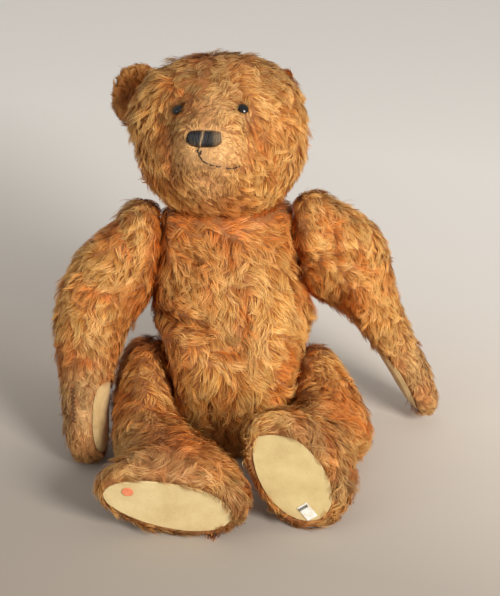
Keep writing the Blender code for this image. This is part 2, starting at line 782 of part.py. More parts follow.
def paw_pad(side, arm, centres, paw):
    """A felt pad laid on the inner side of a hand."""
    station, looks = paw
    normal = Vector(looks).normalized()
    place = placed(centres[station], frame_along(normal, centres[station + 1] - centres[station - 3]))
    place = place @ Matrix.Translation((-PAW_PAD_BACK, 0, 0))
    outline = oval(PAW_PAD_LENGTH, PAW_PAD_WIDTH, 0.15, 24, 0.8)
    return laid_cloth("paw_pad_" + side, surface_of(arm), place, outline, FELT * 0.7, FELT_CLOTH)


def make_ear():
    """The one ear that is left: a cupped oval, sewn to the side of the head."""
    out = Vector(EAR_FACES).normalized()
    frame = frame_along(out, Vector((1, 0, 0)))
    rings = []
    for share, height in EAR_SECTION:
        centre = Vector(EAR_CENTRE) + out * (height * (EAR_THICKNESS + EAR_CUP))
        half = EAR_RADIUS * share * cage_swell(LIMB_SIDES)
        rings.append(ring(centre, frame.col[0] * half * 0.92, frame.col[1] * half, 2.1))
    rings = [[HEAD_PLACE @ p for p in points] for points in rings]
    return stuffed_form("ear_right", rings, MOHAIR)


def make_remnant():
    """What is left of the other ear: a torn lip of its cloth in the seam."""
    centre = Vector(REMNANT_CENTRE)
    lean = Vector((0.62, 0.78, 0)).normalized()
    across = Vector((0.78, -0.62, 0)).normalized()
    rings = []
    for height, size in ((-0.6, 0.7), (-0.2, 1.0), (0.35, 0.85), (0.8, 0.5), (1.0, 0.22)):
        middle = centre + lean * (height * REMNANT_HEIGHT) + across * (1.2 * MM * math.sin(5 * height))
        long_half = across * (size * REMNANT_LENGTH / 2)
        rings.append(ring(middle, long_half, Vector((0, 0, size * REMNANT_THICKNESS / 2)), 2.1, 0.2, 8))
    rings = [[HEAD_PLACE @ p for p in points] for points in rings]
    return stuffed_form("ear_left_remnant", rings, MOHAIR)


def make_eyes(head, surface):
    """Two boot buttons, each with its shank in the head."""
    for side, sign in (("right", -1), ("left", 1)):
        spot, facing = drop_on(surface, HEAD_PLACE, sign * EYE_SPREAD, EYE_RISE)
        place = placed(HEAD_PLACE @ spot, frame_along(facing, HEAD_ROTATION.col[0]))
        base = EYE_CLEAR
        dome = [(0, base + EYE_HEIGHT)]
        for k in range(1, 5):
            angle = math.radians(90 - 22 * k)
            dome.append((EYE_RADIUS * math.cos(angle), base + EYE_HEIGHT * (0.25 + 0.75 * math.sin(angle))))
        dome += [(EYE_RADIUS * 0.94, base), (EYE_SHANK_RADIUS, base)]
        dome += [(EYE_SHANK_RADIUS, -EYE_SHANK_LENGTH), (0, -EYE_SHANK_LENGTH)]
        eye = turned("eye_" + side, dome, WASHER_SIDES, BOOT_BUTTON)
        eye.matrix_world = place
        reach = EYE_SHANK_RADIUS + SEAT_GAP
        depth = EYE_SHANK_LENGTH + SEAT_GAP
        shank = [(0, depth), (reach, depth), (reach, -depth), (0, -depth)]
        hole = turned(eye.name + "_hole", shank, WASHER_SIDES, None, CUTTERS)
        hole.matrix_world = place
        cut(head, as_cutter(hole))


def nose_relief(x, y):
    """Upright satin stitches, worn through along a slanting line."""
    thread = 0.80 + 0.20 * math.cos(2 * math.pi * NOSE_THREADS * x / NOSE_WIDTH)
    worn = math.exp(-(((x - 0.15 * y - 0.5 * MM) / (1.0 * MM)) ** 2))
    return thread * (1 - 0.7 * worn)


def make_embroidery(surface):
    """The nose, and the stitches that are left of the mouth."""
    place = HEAD_PLACE @ Matrix.Translation((0, NOSE_RISE, 0))
    outline = []
    for k in range(4 * NOSE_THREADS):
        angle = 2 * math.pi * k / (4 * NOSE_THREADS)
        c, s = math.cos(angle), math.sin(angle)
        x = math.copysign(abs(c) ** 0.6, c) * NOSE_WIDTH / 2
        y = math.copysign(abs(s) ** 0.6, s) * NOSE_HEIGHT / 2
        outline.append((x * (1 + 0.10 * s), y))
    laid_cloth("nose_stitching", surface, place, outline, NOSE_RELIEF, BLACK_THREAD, 5, nose_relief)
    for name, path in MOUTH_STITCHES.items():
        points = [(x * MM, y * MM) for x, y in path]
        laid_thread(name, surface, HEAD_PLACE, points, THREAD_RADIUS, BLACK_THREAD, 3)


def make_repair(arm, centres):
    """Whip stitches that close a worn seam on the forearm."""
    middle = (centres[9] + centres[10]) / 2
    place = placed(middle, frame_along((-0.35, -0.90, 0.25), centres[8] - centres[10]))
    path = []
    for k in range(REPAIR_STITCHES):
        x = REPAIR_LENGTH * (k / (REPAIR_STITCHES - 1) - 0.5)
        path += [(x, -REPAIR_WIDTH / 2), (x + REPAIR_LENGTH * 0.03, REPAIR_WIDTH / 2)]
    laid_thread("forearm_repair_thread", surface_of(arm), place, path, THREAD_RADIUS * 0.7, BLACK_THREAD, 2)


def make_tag(place):
    """A blank tape tag, sewn to the left sole at one end."""
    along, across, turn = TAG_PLACE
    over = Matrix.Translation((along, across, FELT - FELT_SUNK + SEAT_GAP)) @ Matrix.Rotation(turn, 4, "Z")
    half_length, half_width = TAG_LENGTH / 2, TAG_WIDTH / 2
    corners = [(-half_length, -half_width), (half_length, -half_width)]
    corners += [(half_length, half_width), (-half_length, half_width)]
    tag = flat_cloth("sole_tag", corners, TAG_THICKNESS, place @ over, TAPE)
    path = []
    for k in range(6):
        y = half_width * (k / 2.5 - 1) * 0.8
        path += [(half_length - 1.5 * MM, y), (half_length - 4.5 * MM, y + 0.5 * MM)]
    laid_thread(
        "sole_tag_thread", surface_of(tag), tag.matrix_world, path, THREAD_RADIUS * 0.6, BLACK_THREAD, 1
    )


def make_dot(place):
    """A small round sticker on the right sole."""
    over = Matrix.Translation((*DOT_PLACE, FELT - FELT_SUNK + SEAT_GAP))
    outline = oval(2 * DOT_RADIUS, 2 * DOT_RADIUS, 0, 24)
    flat_cloth("sole_sticker", outline, DOT_THICKNESS, place @ over, ORANGE)


def main():
    for joint in JOINTS.values():
        joint_hardware(joint)
    make_torso()
    head = make_head()
    face = surface_of(head)
    ear = make_ear()
    seat_on(ear, head)
    remnant = make_remnant()
    seat_on(remnant, head)
    make_embroidery(face)
    make_eyes(head, face)
    fit_to_joint(head, JOINTS["neck"])
    arm, centres = make_arm("right", RIGHT_ARM)
    paw_pad("right", arm, centres, RIGHT_PAW)
    make_repair(arm, centres)
    arm, centres = make_arm("left", LEFT_ARM)
    paw_pad("left", arm, centres, LEFT_PAW)
    leg, place = make_leg("right", RIGHT_LEG, RIGHT_SOLE, RIGHT_SOLE_WIDTH)
    foot_pad("right", leg, place, RIGHT_FOOT_PAD)
    make_dot(place)
    leg, place = make_leg("left", LEFT_LEG, LEFT_SOLE, LEFT_SOLE_WIDTH)
    foot_pad("left", leg, place, LEFT_FOOT_PAD)
    make_tag(place)


main()
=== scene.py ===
import math
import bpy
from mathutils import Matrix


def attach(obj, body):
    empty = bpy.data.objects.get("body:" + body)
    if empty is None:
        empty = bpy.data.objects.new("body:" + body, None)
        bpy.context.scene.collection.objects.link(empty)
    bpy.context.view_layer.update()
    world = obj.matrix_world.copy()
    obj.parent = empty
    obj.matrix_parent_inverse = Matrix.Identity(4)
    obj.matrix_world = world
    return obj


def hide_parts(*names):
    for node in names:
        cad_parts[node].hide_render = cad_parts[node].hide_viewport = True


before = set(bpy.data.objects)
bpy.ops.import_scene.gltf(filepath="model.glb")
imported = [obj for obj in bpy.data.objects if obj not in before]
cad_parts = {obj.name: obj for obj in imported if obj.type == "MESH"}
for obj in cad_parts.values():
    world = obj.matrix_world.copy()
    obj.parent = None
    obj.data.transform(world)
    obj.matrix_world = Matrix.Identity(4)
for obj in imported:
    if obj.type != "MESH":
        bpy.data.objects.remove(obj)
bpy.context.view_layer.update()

from types import SimpleNamespace

import bpy
import numpy as np
from mathutils import Vector
from mathutils.bvhtree import BVHTree
from mathutils.kdtree import KDTree

draw = np.random.default_rng(1907)

# The front view: the camera looks down at the bear, and places on its front are given on a grid
# in that view, in steps to the right and down from the top left corner.
LOOK_DOWN = math.radians(25)
CAMERA_DISTANCE = 1.8
AIM = np.array((0.016, -0.065, 0.187))
GRID_MIDDLE = np.array((250.0, 298.0))
FOCAL_STEPS = 1895.0
IMAGE_WIDTH = 500.0
SENSOR_WIDTH = 36.0
RIGHT = np.array((1.0, 0.0, 0.0))
UPWARD = np.array((0.0, math.sin(LOOK_DOWN), math.cos(LOOK_DOWN)))
TOWARD = np.array((0.0, -math.cos(LOOK_DOWN), math.sin(LOOK_DOWN)))

# The studio: where the lamps aim, and half the floor's side.
LIT_PLACE = (0.0, -0.05, 0.18)
FLOOR_HALF = 6.0

# Lengths in metres, of the cloth and then of the pile.
SKIN_VOXEL = 0.0036
SKIN_INSET = 0.0005
EAR_INSET = 0.0001
ROOT_DEPTH = 0.0004
ROOT_ABOVE_FLOOR = 0.0012
FLOOR_CLEAR = 0.0008
ROOT_GAP = 0.0014
TRIM_GAP = 0.0012
TRIM_TIP_GAP = 0.0016
LAID_ABOVE = 0.0014
INSIDE_GAP = 0.0003
NEIGHBOUR_REACH = 0.04
SKIN_REACH = 0.05
LAY_REACH = 0.012
CUT_REACH = 0.02
TRIM_REACH = 0.01
THINNEST_STRAND = 0.00012
WIDEST_STRAND = 0.00029
SOLE_RIM_BAND = 0.011

# How the pile is made. COMB_SPREAD and EYE_LINE are on the front view's grid, turns in radians.
SEGMENTS = 3
TAPER = np.array((0.8, 1.0, 0.75, 0.0))
STRANDS_IN_LOCK = 22
FEWEST_LOCKS = 40
SPARE_ROOTS = 1.35
COMB_SPREAD = 13.0
FLY_SHARE = 0.03
# The share of strands painted brighter as painted highlights.
HIGHLIGHT_STRAND_SHARE = 0.18
EYE_LINE = 112
LOCK_TURN = 0.42
STRAND_TURN = 0.17
LOCK_HOLD = 0.7
OWN_HOLD = 0.3
GAP_REACH = 0.75

# How the stitches are made.
THREAD_SIDES = 6
THREAD_FLAT = 0.8
STITCH_STEPS = 6
NOSE_STITCHES = 24
NOSE_THREAD = 0.00075
NOSE_LIFT = 0.0004
MOUTH_THREAD = 0.00055
MOUTH_LIFT = 0.0013

# The moving body that each stuffed piece and each felt pad belongs to.
BODY_OF = {
    "torso": "torso",
    "head": "head",
    "ear_right": "head",
    "ear_left_remnant": "head",
    "arm_right": "right_arm",
    "arm_left": "left_arm",
    "leg_right": "right_leg",
    "leg_left": "left_leg",
}
PADS = {
    "paw_pad_right": "right_arm",
    "paw_pad_left": "left_arm",
    "foot_pad_right": "right_leg",
    "foot_pad_left": "left_leg",
}
# The solids on the face that the pile keeps clear of.
ON_FACE = (
    "eye_right", "eye_left", "nose_stitching",
    "mouth_centre_thread", "mouth_left_thread", "mouth_right_thread",
)

# Comb marks: a place in the front view, and which way the pile lies there, right and down.
COMB = {
    "head": (
        (150, 78, -0.9, 0.5), (168, 64, -0.9, 0.4), (190, 54, -0.7, 0.2), (220, 54, 0.5, 0.3),
        (255, 60, 1.0, 0.2), (282, 76, 1.0, 0.4), (188, 80, -0.6, 0.8), (207, 96, 0.8, -0.6),
        (237, 86, 1.0, -0.3), (264, 86, 0.9, 0.3), (140, 105, -0.7, 0.5), (155, 122, -0.2, 1.0),
        (138, 150, 0.1, 1.0), (160, 165, 0.2, 1.0), (168, 190, 0.4, 1.0), (290, 105, 0.5, 0.8),
        (306, 125, 0.8, 0.7), (270, 125, 0.4, 1.0), (300, 160, -0.1, 1.0), (285, 187, -0.6, 1.0),
        (243, 99, 0.1, 1.0), (180, 97, -0.1, 1.0),
        (250, 165, 0.5, 0.8), (225, 190, 0.2, 1.0), (205, 207, 0.9, 0.5), (240, 212, 1.0, 0.1),
        (265, 200, 0.6, 0.8), (208, 118, 0.2, -1.0), (185, 150, -0.8, 0.7), (232, 150, 0.8, 0.6),
        (207, 172, 0.0, 1.0),
    ),
    "torso": (
        (165, 236, 1.0, 0.5), (190, 240, 1.0, 0.6), (214, 230, 0.3, 1.0), (250, 222, 1.0, -0.3),
        (278, 232, 1.0, 0.1), (250, 262, 0.2, 1.0), (232, 270, -0.1, 1.0), (168, 268, 0.5, 1.0),
        (184, 286, 0.6, 0.9), (198, 300, 0.8, 0.5), (166, 316, 0.9, -0.3), (188, 318, 1.0, -0.2),
        (190, 338, 1.0, 0.8), (205, 354, 0.8, 1.0), (232, 300, -0.4, 0.9), (244, 286, 0.8, 0.2),
        (246, 330, 0.2, 1.0), (266, 340, 0.5, 0.8), (286, 312, 0.6, 0.8), (302, 290, 0.7, 0.7),
        (290, 352, 0.9, 0.0), (292, 374, 0.9, -0.3), (188, 376, -0.4, 1.0), (206, 388, -0.4, 1.0),
        (221, 398, -0.1, 1.0), (236, 402, 0.1, 1.0), (254, 398, 0.4, 1.0), (270, 386, 0.8, 0.6),
        (218, 420, 0.0, 1.0),
    ),
    "arm_right": (
        (130, 214, -0.7, 0.3), (148, 225, 0.1, 1.0), (125, 240, -0.6, 0.9), (100, 264, -0.8, 0.6),
        (136, 282, -0.9, 0.5), (112, 302, -0.5, 0.9), (76, 300, -0.5, 1.0), (64, 340, -0.4, 1.0),
        (92, 350, 0.2, 1.0), (75, 400, 0.0, 1.0), (85, 450, 0.3, 1.0),
    ),
    "arm_left": (
        (308, 200, 0.3, 0.8), (304, 235, 0.1, 1.0), (318, 243, 1.0, -0.2), (332, 210, 0.8, 0.3),
        (350, 240, 0.6, 0.8), (324, 270, 0.4, 0.9), (370, 270, 0.6, 0.9), (386, 310, 0.4, 1.0),
        (402, 350, 0.5, 1.0), (426, 392, 0.5, 1.0), (360, 292, 0.2, 1.0),
    ),
    "leg_right": (
        (130, 370, -0.3, 1.0), (150, 400, 0.3, 1.0), (138, 425, -0.6, 0.8), (176, 430, 0.8, 0.5),
        (202, 440, 0.8, 0.6), (112, 470, -1.0, -0.1), (150, 464, -0.5, -0.6), (190, 468, 0.4, -0.5),
        (222, 484, 0.9, -0.2), (238, 505, 1.0, 0.3), (150, 524, 1.0, 0.4), (200, 538, 1.0, 0.3),
        (98, 490, -0.9, 0.4),
    ),
    "leg_left": (
        (330, 385, 0.5, 0.8), (346, 410, 0.8, 0.5), (366, 425, 1.0, 0.4), (302, 398, 0.6, 0.8),
        (270, 424, 0.8, -0.1), (300, 435, 1.0, 0.3), (250, 450, -0.5, 0.9), (248, 480, 0.1, 1.0),
        (266, 512, 0.6, 1.0), (300, 530, 1.0, 0.2), (335, 462, 0.8, 0.5), (346, 490, 0.9, 0.2),
        (332, 515, 0.8, 0.5),
    ),
}
# Which way the pile lies where the front view doesn't reach.
LIE = {
    "torso": (0.0, 0.1, -1.0),
    "head": (0.0, 0.5, -0.9),
    "ear_right": (-0.5, 0.2, 0.9),
    "ear_left_remnant": (0.3, 0.0, 1.0),
    "arm_right": (-0.3, -0.5, -1.0),
    "arm_left": (0.5, -0.6, -1.0),
    "leg_right": (-0.2, -0.8, -0.4),
    "leg_left": (0.2, -0.8, -0.4),
}
# How many strands each piece of cloth has, and the length of its pile.
PILE = {
    "torso": (38500, 0.0150),
    "head": (38500, 0.0110),
    "arm_right": (23500, 0.0120),
    "arm_left": (23000, 0.0120),
    "leg_right": (24000, 0.0130),
    "leg_left": (24000, 0.0130),
    "ear_right": (6000, 0.0095),
    "ear_left_remnant": (1000, 0.0090),
}
# Spots in the front view where the pile is worn short: place, radius, what is left of its length.
SHORT = {
    "head": ((207, 150, 36, 0.27), (207, 178, 26, 0.42), (212, 112, 22, 0.45), (243, 116, 12, 0.6)),
    "arm_right": ((82, 430, 60, 0.62), (86, 415, 16, 0.4)),
    "arm_left": ((415, 385, 55, 0.68),),
    "leg_right": ((160, 470, 30, 0.8),),
}
# Spots where the pile stands longer: place, radius, how many times its length.
LONG = {
    "head": (
        (142, 110, 16, 1.7), (158, 80, 13, 1.6), (150, 66, 10, 1.5), (306, 150, 12, 1.3), (140, 160, 12, 1.3),
    ),
    "torso": ((225, 405, 36, 1.2), (158, 235, 12, 1.3), (288, 235, 12, 1.3)),
    "arm_right": ((150, 240, 16, 1.4), (135, 290, 16, 1.3)),
    "arm_left": ((300, 235, 14, 1.4), (312, 200, 14, 1.3)),
    "leg_right": ((240, 500, 14, 1.3), (110, 470, 14, 1.3), (160, 470, 20, 1.2), (180, 535, 40, 1.4)),
    "leg_left": ((345, 480, 16, 1.4), (262, 440, 14, 1.3)),
}
# Spots that daylight and dust have greyed, where the grey is also darker as painted shade on the top of the
# head and on the feet: place, radius, how far.
GREYED_AND_SHADE = {
    "head": (
        (215, 60, 52, 0.8), (265, 75, 30, 0.7), (150, 70, 26, 0.6), (225, 88, 26, 0.5), (140, 112, 14, 0.4),
    ),
    "torso": ((240, 285, 30, 0.3), (232, 330, 36, 0.3)),
    "arm_right": ((130, 205, 22, 0.5), (78, 400, 70, 0.85)),
    "arm_left": ((330, 200, 22, 0.5), (412, 385, 52, 0.75)),
    "leg_right": ((160, 480, 75, 1.0), (235, 500, 40, 1.0), (180, 535, 60, 1.0)),
    "leg_left": ((300, 436, 50, 1.0), (345, 480, 40, 0.9), (255, 470, 34, 0.9), (300, 528, 34, 0.8)),
}
# Creases in the cloth, in the front view: the two ends, half width and depth in metres. The pile in them is
# also painted in the deep colour as shade.
CREASES = {
    "torso": (
        (146, 308, 172, 322, 5.5, 0.0085), (172, 322, 206, 330, 6.0, 0.0065),
        (240, 288, 247, 326, 6.0, 0.0040), (160, 212, 158, 262, 6.0, 0.0050),
        (176, 250, 196, 262, 6.0, 0.0045), (286, 205, 292, 262, 6.0, 0.0050),
        (262, 236, 288, 244, 6.0, 0.0050), (228, 235, 231, 262, 5.0, 0.0025),
        (212, 350, 236, 352, 7.0, 0.0045), (168, 352, 176, 392, 7.0, 0.0040),
        (288, 352, 270, 396, 7.0, 0.0030), (205, 400, 212, 428, 5.0, 0.0025),
    ),
    "head": (
        (166, 122, 172, 176, 7.0, 0.0040), (172, 84, 186, 92, 5.0, 0.0030),
        (250, 120, 262, 150, 8.0, 0.0030), (202, 176, 216, 184, 6.0, 0.0020),
        (182, 96, 178, 108, 4.0, 0.0030), (240, 98, 246, 106, 5.0, 0.0025),
    ),
    "arm_left": (
        (330, 218, 336, 258, 5.0, 0.0045), (300, 258, 322, 280, 6.0, 0.0040),
        (352, 262, 372, 268, 6.0, 0.0030),
    ),
    "arm_right": (
        (118, 222, 130, 252, 6.0, 0.0040), (92, 288, 120, 296, 6.0, 0.0030),
        (70, 352, 92, 360, 6.0, 0.0025),
    ),
    "ear_right": ((131, 88, 134, 104, 9.0, 0.0045),),
    "leg_right": ((150, 405, 196, 428, 6.0, 0.0040), (118, 388, 136, 396, 6.0, 0.0030)),
    "leg_left": ((300, 372, 330, 392, 6.0, 0.0040), (325, 415, 352, 418, 6.0, 0.0035)),
}
# Where the stuffing pushes the cloth out, given like the creases.
SWELLS = {
    "head": (
        (134, 96, 138, 126, 13.0, 0.0065), (148, 76, 156, 84, 9.0, 0.0040),
        (300, 150, 296, 170, 14.0, 0.0020),
    ),
    "leg_right": (
        (140, 462, 200, 470, 14.0, 0.0030), (244, 490, 240, 512, 9.0, 0.0045),
        (140, 526, 215, 541, 8.0, 0.0020),
    ),
    "leg_left": ((262, 430, 300, 432, 10.0, 0.0030),),
}
# Dark marks, matted fur by the eyes and mouth and painted shade in the ear's cup, an armpit and a torso
# crease: place, radius, how dark.
MATTED_AND_SHADE = {
    "head": (
        (183, 99, 8, 0.75), (177, 104, 9, 0.6), (241, 104, 10, 0.6), (171, 172, 5, 0.7), (176, 124, 12, 0.3),
        (247, 118, 9, 0.35), (183, 118, 8, 0.35),
    ),
    "torso": ((148, 312, 10, 0.9), (200, 324, 8, 0.3)),
    "ear_right": ((130, 104, 17, 0.55), (140, 112, 12, 0.5)),
    "arm_left": ((336, 298, 20, 0.55),),
}
# Folds painted in the deep first colour, partly the colour the folds kept and partly painted shade, as in the
# armpits, the neck and inside the ear: place, radius, how far.
DEEP_AND_SHADE = {
    "head": ((225, 208, 30, 0.6), (165, 140, 18, 0.5), (175, 100, 12, 0.5), (275, 130, 26, 0.35)),
    "torso": (
        (175, 222, 26, 0.9), (285, 215, 24, 0.9), (225, 224, 34, 0.85), (200, 262, 26, 0.5),
        (165, 310, 22, 0.7), (200, 330, 16, 0.6), (165, 385, 26, 0.6), (262, 240, 16, 0.5),
        (225, 430, 30, 0.6), (300, 380, 18, 0.5), (192, 262, 12, 0.5),
    ),
    "arm_right": ((142, 300, 26, 0.8), (120, 350, 20, 0.7), (155, 250, 14, 0.6)),
    "arm_left": ((345, 300, 26, 1.0), (318, 260, 10, 0.6), (334, 225, 12, 0.6), (300, 275, 18, 0.7)),
    "leg_right": ((180, 440, 34, 0.85), (125, 400, 28, 0.7), (150, 350, 26, 0.7)),
    "leg_left": ((340, 400, 34, 0.75), (360, 425, 14, 0.9), (262, 500, 12, 0.3)),
    "ear_right": ((140, 102, 34, 1.0),),
    "ear_left_remnant": ((292, 72, 30, 0.5),),
}


def linear(red, green, blue):
    """A colour from eight-bit values to scene-linear."""
    parts = []
    for value in (red, green, blue):
        c = value / 255.0
        parts.append(c / 12.92 if c <= 0.04045 else ((c + 0.055) / 1.055) ** 2.4)
    return (*parts, 1.0)


def unit(v):
    return v / np.maximum(np.linalg.norm(v, axis=-1, keepdims=True), 1e-12)


def dot(a, b):
    return (a * b).sum(axis=-1, keepdims=True)


def ease(low, high, value):
    """0 at the low end, 1 at the high end and a smooth step between."""
    t = np.clip((value - low) / (high - low), 0.0, 1.0)
    return t * t * (3.0 - 2.0 * t)


def wander(p, size, phase):
    """A smooth, aimless value from -1 to 1 that changes over about one size in metres."""
    q = p / size
    a = np.sin(q[:, 0] * 1.7 + q[:, 1] * 0.9 + phase) * np.sin(q[:, 2] * 1.3 - q[:, 0] * 0.6 + 2.1 * phase)
    b = np.sin(q[:, 1] * 2.3 - q[:, 2] * 1.9 + 0.7 * phase) * np.sin(q[:, 0] * 2.6 + q[:, 2] * 0.8 + phase)
    return 0.6 * a + 0.4 * b


def front_view(p):
    """Where points show in the front view, in grid steps."""
    q = p - AIM
    depth = CAMERA_DISTANCE - q @ TOWARD
    scale = FOCAL_STEPS / depth
    across = q @ RIGHT * scale
    up = q @ UPWARD * scale
    return np.stack((GRID_MIDDLE[0] + across, GRID_MIDDLE[1] - up), axis=1)


def seen(normals):
    """How far a surface faces the front view, from 0 to 1."""
    return ease(-0.15, 0.35, normals @ TOWARD)


def off_squared(view, x, y):
    """The squares of how far points show from a place in the front view."""
    return (view[:, 0] - x) ** 2 + (view[:, 1] - y) ** 2


def spots(marks, view, facing, start):
    """The strongest of some soft round spots in the front view, and never less than the start."""
    strongest = np.full(len(view), start)
    for x, y, radius, strength in marks:
        fall = np.exp(-off_squared(view, x, y) / (2.0 * (0.6 * radius) ** 2))
        strongest = np.maximum(strongest, strength * fall * facing)
    return strongest


def in_creases(lines, view, facing):
    """How deep points of the cloth lie in creases, or how high on swells, and their share of the most."""
    depth = np.zeros(len(view))
    share = np.zeros(len(view))
    for x0, y0, x1, y1, half_width, deepest in lines:
        start, run = np.array((x0, y0), float), np.array((x1 - x0, y1 - y0), float)
        along = np.clip(((view - start) @ run) / (run @ run), 0.0, 1.0)
        off = view - start - along[:, None] * run
        fall = np.exp(-(off ** 2).sum(axis=1) / half_width ** 2) * facing
        depth = np.maximum(depth, deepest * fall)
        share = np.maximum(share, fall)
    return depth, share


def length_left(name, view, facing):
    """The share of the pile's length that wear has left."""
    left = np.ones(len(view))
    for x, y, radius, share in SHORT.get(name, ()):
        worn = np.exp(-((off_squared(view, x, y) / radius ** 2) ** 1.5)) * facing
        left = np.minimum(left, 1.0 - (1.0 - share) * worn)
    return left


def longer(name, view, facing):
    """How many times its usual length the pile has."""
    times = np.ones(len(view))
    for x, y, radius, most in LONG.get(name, ()):
        fall = np.exp(-off_squared(view, x, y) / radius ** 2)
        times = np.maximum(times, 1.0 + (most - 1.0) * fall * facing)
    return times


def mesh_arrays(obj):
    """An object's points, its triangles and its points' normals."""
    mesh = obj.data
    mesh.calc_loop_triangles()
    points = np.empty(len(mesh.vertices) * 3)
    mesh.vertices.foreach_get("co", points)
    normals = np.empty(len(mesh.vertices) * 3)
    mesh.vertices.foreach_get("normal", normals)
    corners = np.empty(len(mesh.loop_triangles) * 3, dtype=np.int64)
    mesh.loop_triangles.foreach_get("vertices", corners)
    return points.reshape(-1, 3), corners.reshape(-1, 3), normals.reshape(-1, 3)


def tree_of(objects):
    """One search tree over the surfaces of some objects."""
    points, faces = [], []
    start = 0
    for obj in objects:
        p, t, _ = mesh_arrays(obj)
        points.append(p)
        faces.append(t + start)
        start += len(p)
    return BVHTree.FromPolygons(np.concatenate(points).tolist(), np.concatenate(faces).tolist())


def nearest(tree, points, reach):
    """For each point, the nearest place on a tree's surface, the way it faces and how far it is."""
    place = points.copy()
    way = np.zeros_like(points)
    far = np.full(len(points), np.inf)
    find = tree.find_nearest
    for i, p in enumerate(points.tolist()):
        hit = find(p, reach)
        if hit[0] is not None:
            place[i] = hit[0]
            way[i] = hit[1]
            far[i] = hit[3]
    return place, way, far


def new_object(name, data):
    obj = bpy.data.objects.new(name, data)
    bpy.context.scene.collection.objects.link(obj)
    return obj


def new_mesh_object(name, points, faces):
    mesh = bpy.data.meshes.new(name)
    mesh.from_pydata(points, [], faces)
    mesh.update()
    return new_object(name, mesh)


def give_wear(obj, worn):
    """Keeps how worn each point is, for the materials."""
    layer = obj.data.attributes.new("worn", "FLOAT", "POINT")
    layer.data.foreach_set("value", worn.astype(np.float32))


def shade_smooth(mesh):
    mesh.polygons.foreach_set("use_smooth", [True] * len(mesh.polygons))


def apply_modifiers(obj):
    """Turns an object's modifiers into plain mesh."""
    bpy.context.view_layer.update()
    graph = bpy.context.evaluated_depsgraph_get()
    mesh = bpy.data.meshes.new_from_object(obj.evaluated_get(graph))
    obj.modifiers.clear()
    old = obj.data
    obj.data = mesh
    bpy.data.meshes.remove(old)


def make_skin(name):
    """The cloth under the pile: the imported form, evenly meshed, smoothed and drawn in a little."""
    obj = new_object(f"{name}_cloth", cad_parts[name].data.copy())
    obj.data.materials.clear()
    remesh = obj.modifiers.new("even", "REMESH")
    remesh.mode = "VOXEL"
    small = name.startswith("ear")
    remesh.voxel_size = SKIN_VOXEL * (0.45 if small else 1.0)
    smooth = obj.modifiers.new("smooth", "SMOOTH")
    smooth.factor = 0.5
    smooth.iterations = 2 if small else 4
    apply_modifiers(obj)
    mesh = obj.data
    points, _, normals = mesh_arrays(obj)
    view = front_view(points)
    depth, _ = in_creases(CREASES.get(name, ()), view, seen(normals))
    swell, _ = in_creases(SWELLS.get(name, ()), view, ease(-0.7, 0.0, normals @ TOWARD))
    inset = depth - swell + (EAR_INSET if small else SKIN_INSET)
    moved = points - normals * inset[:, None]
    moved[:, 2] = np.maximum(moved[:, 2], 0.0)
    mesh.vertices.foreach_set("co", moved.ravel())
    shade_smooth(mesh)
    mesh.update()
    return obj


def sample(points, corners, normals, weight, count):
    """Even random places on a mesh, more of them where the weight of its points is high."""
    a, b, c = (points[corners[:, k]] for k in range(3))
    area = np.linalg.norm(np.cross(b - a, c - a), axis=1) * weight[corners].mean(axis=1)
    ladder = np.cumsum(area)
    ladder /= ladder[-1]
    pick = np.searchsorted(ladder, draw.random(count)).clip(0, len(corners) - 1)
    u = np.sqrt(draw.random((count, 1)))
    v = draw.random((count, 1))
    parts = np.stack((1.0 - u, u * (1.0 - v), u * v), axis=1)
    chosen = corners[pick]
    place = (points[chosen] * parts).sum(axis=1)
    way = unit((normals[chosen] * parts).sum(axis=1))
    return place, way


def pad_frame(name):
    """The middle of an oval pad, its long, short and thin directions, and the first two half sizes."""
    points, _, _ = mesh_arrays(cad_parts[name])
    box_middle = (points.min(axis=0) + points.max(axis=0)) / 2.0
    middle = points.mean(axis=0) * 0.5 + box_middle * 0.5
    _, _, axes = np.linalg.svd(points - points.mean(axis=0), full_matrices=False)
    half = [np.abs((points - middle) @ axes[k]).max() for k in range(2)]
    return middle, axes, half


def pad_reach(pad, p):
    """How far points lie from the middle of a pad, 1 at its rim, and how far off its plane."""
    middle, axes, half = pad
    q = p - middle
    across = np.sqrt((q @ axes[0] / half[0]) ** 2 + (q @ axes[1] / half[1]) ** 2)
    return across, np.abs(q @ axes[2])


def comb_direction(name, p, normals, view, facing):
    """Which way the pile lies: the comb marks in front, one way elsewhere, and round the soles."""
    base = np.tile(np.array(LIE[name]), (len(p), 1))
    marks = np.array(COMB.get(name, ()))
    if len(marks):
        d2 = ((view[:, None, :] - marks[None, :, :2]) ** 2).sum(axis=2)
        weight = np.exp(-d2 / (2.0 * COMB_SPREAD ** 2)) + 1e-9
        lie = (weight[:, :, None] * marks[None, :, 2:]).sum(axis=1) / weight.sum(axis=1, keepdims=True)
        front = lie[:, :1] * RIGHT - lie[:, 1:] * UPWARD
        base = unit(base) * (1.0 - facing[:, None]) + unit(front) * facing[:, None]
    if name.startswith("leg"):
        pad = pad_frame(name.replace("leg", "foot_pad"))
        middle, axes, _ = pad
        across, off = pad_reach(pad, p)
        near = np.exp(-((off / SOLE_RIM_BAND) ** 2)) * ease(0.9, 1.0, across)
        outward = unit(p - middle)
        along = np.cross(np.tile(axes[2], (len(p), 1)), outward)
        along *= np.sign(along @ np.array((1.0, 0.0, -0.4)))[:, None]
        base = base * (1.0 - near[:, None] * 0.85) + unit(along - 0.4 * outward) * near[:, None] * 0.85
    flat = unit(base - dot(base, normals) * normals)
    swing = 0.55 * wander(p, 0.021, 1.3) + 0.35 * wander(p, 0.009, 4.1)
    return turn(flat, normals, swing)


def turn(vectors, axes, angles):
    """Turns vectors that lie across their axes."""
    side = np.cross(axes, vectors)
    return vectors * np.cos(angles)[:, None] + side * np.sin(angles)[:, None]


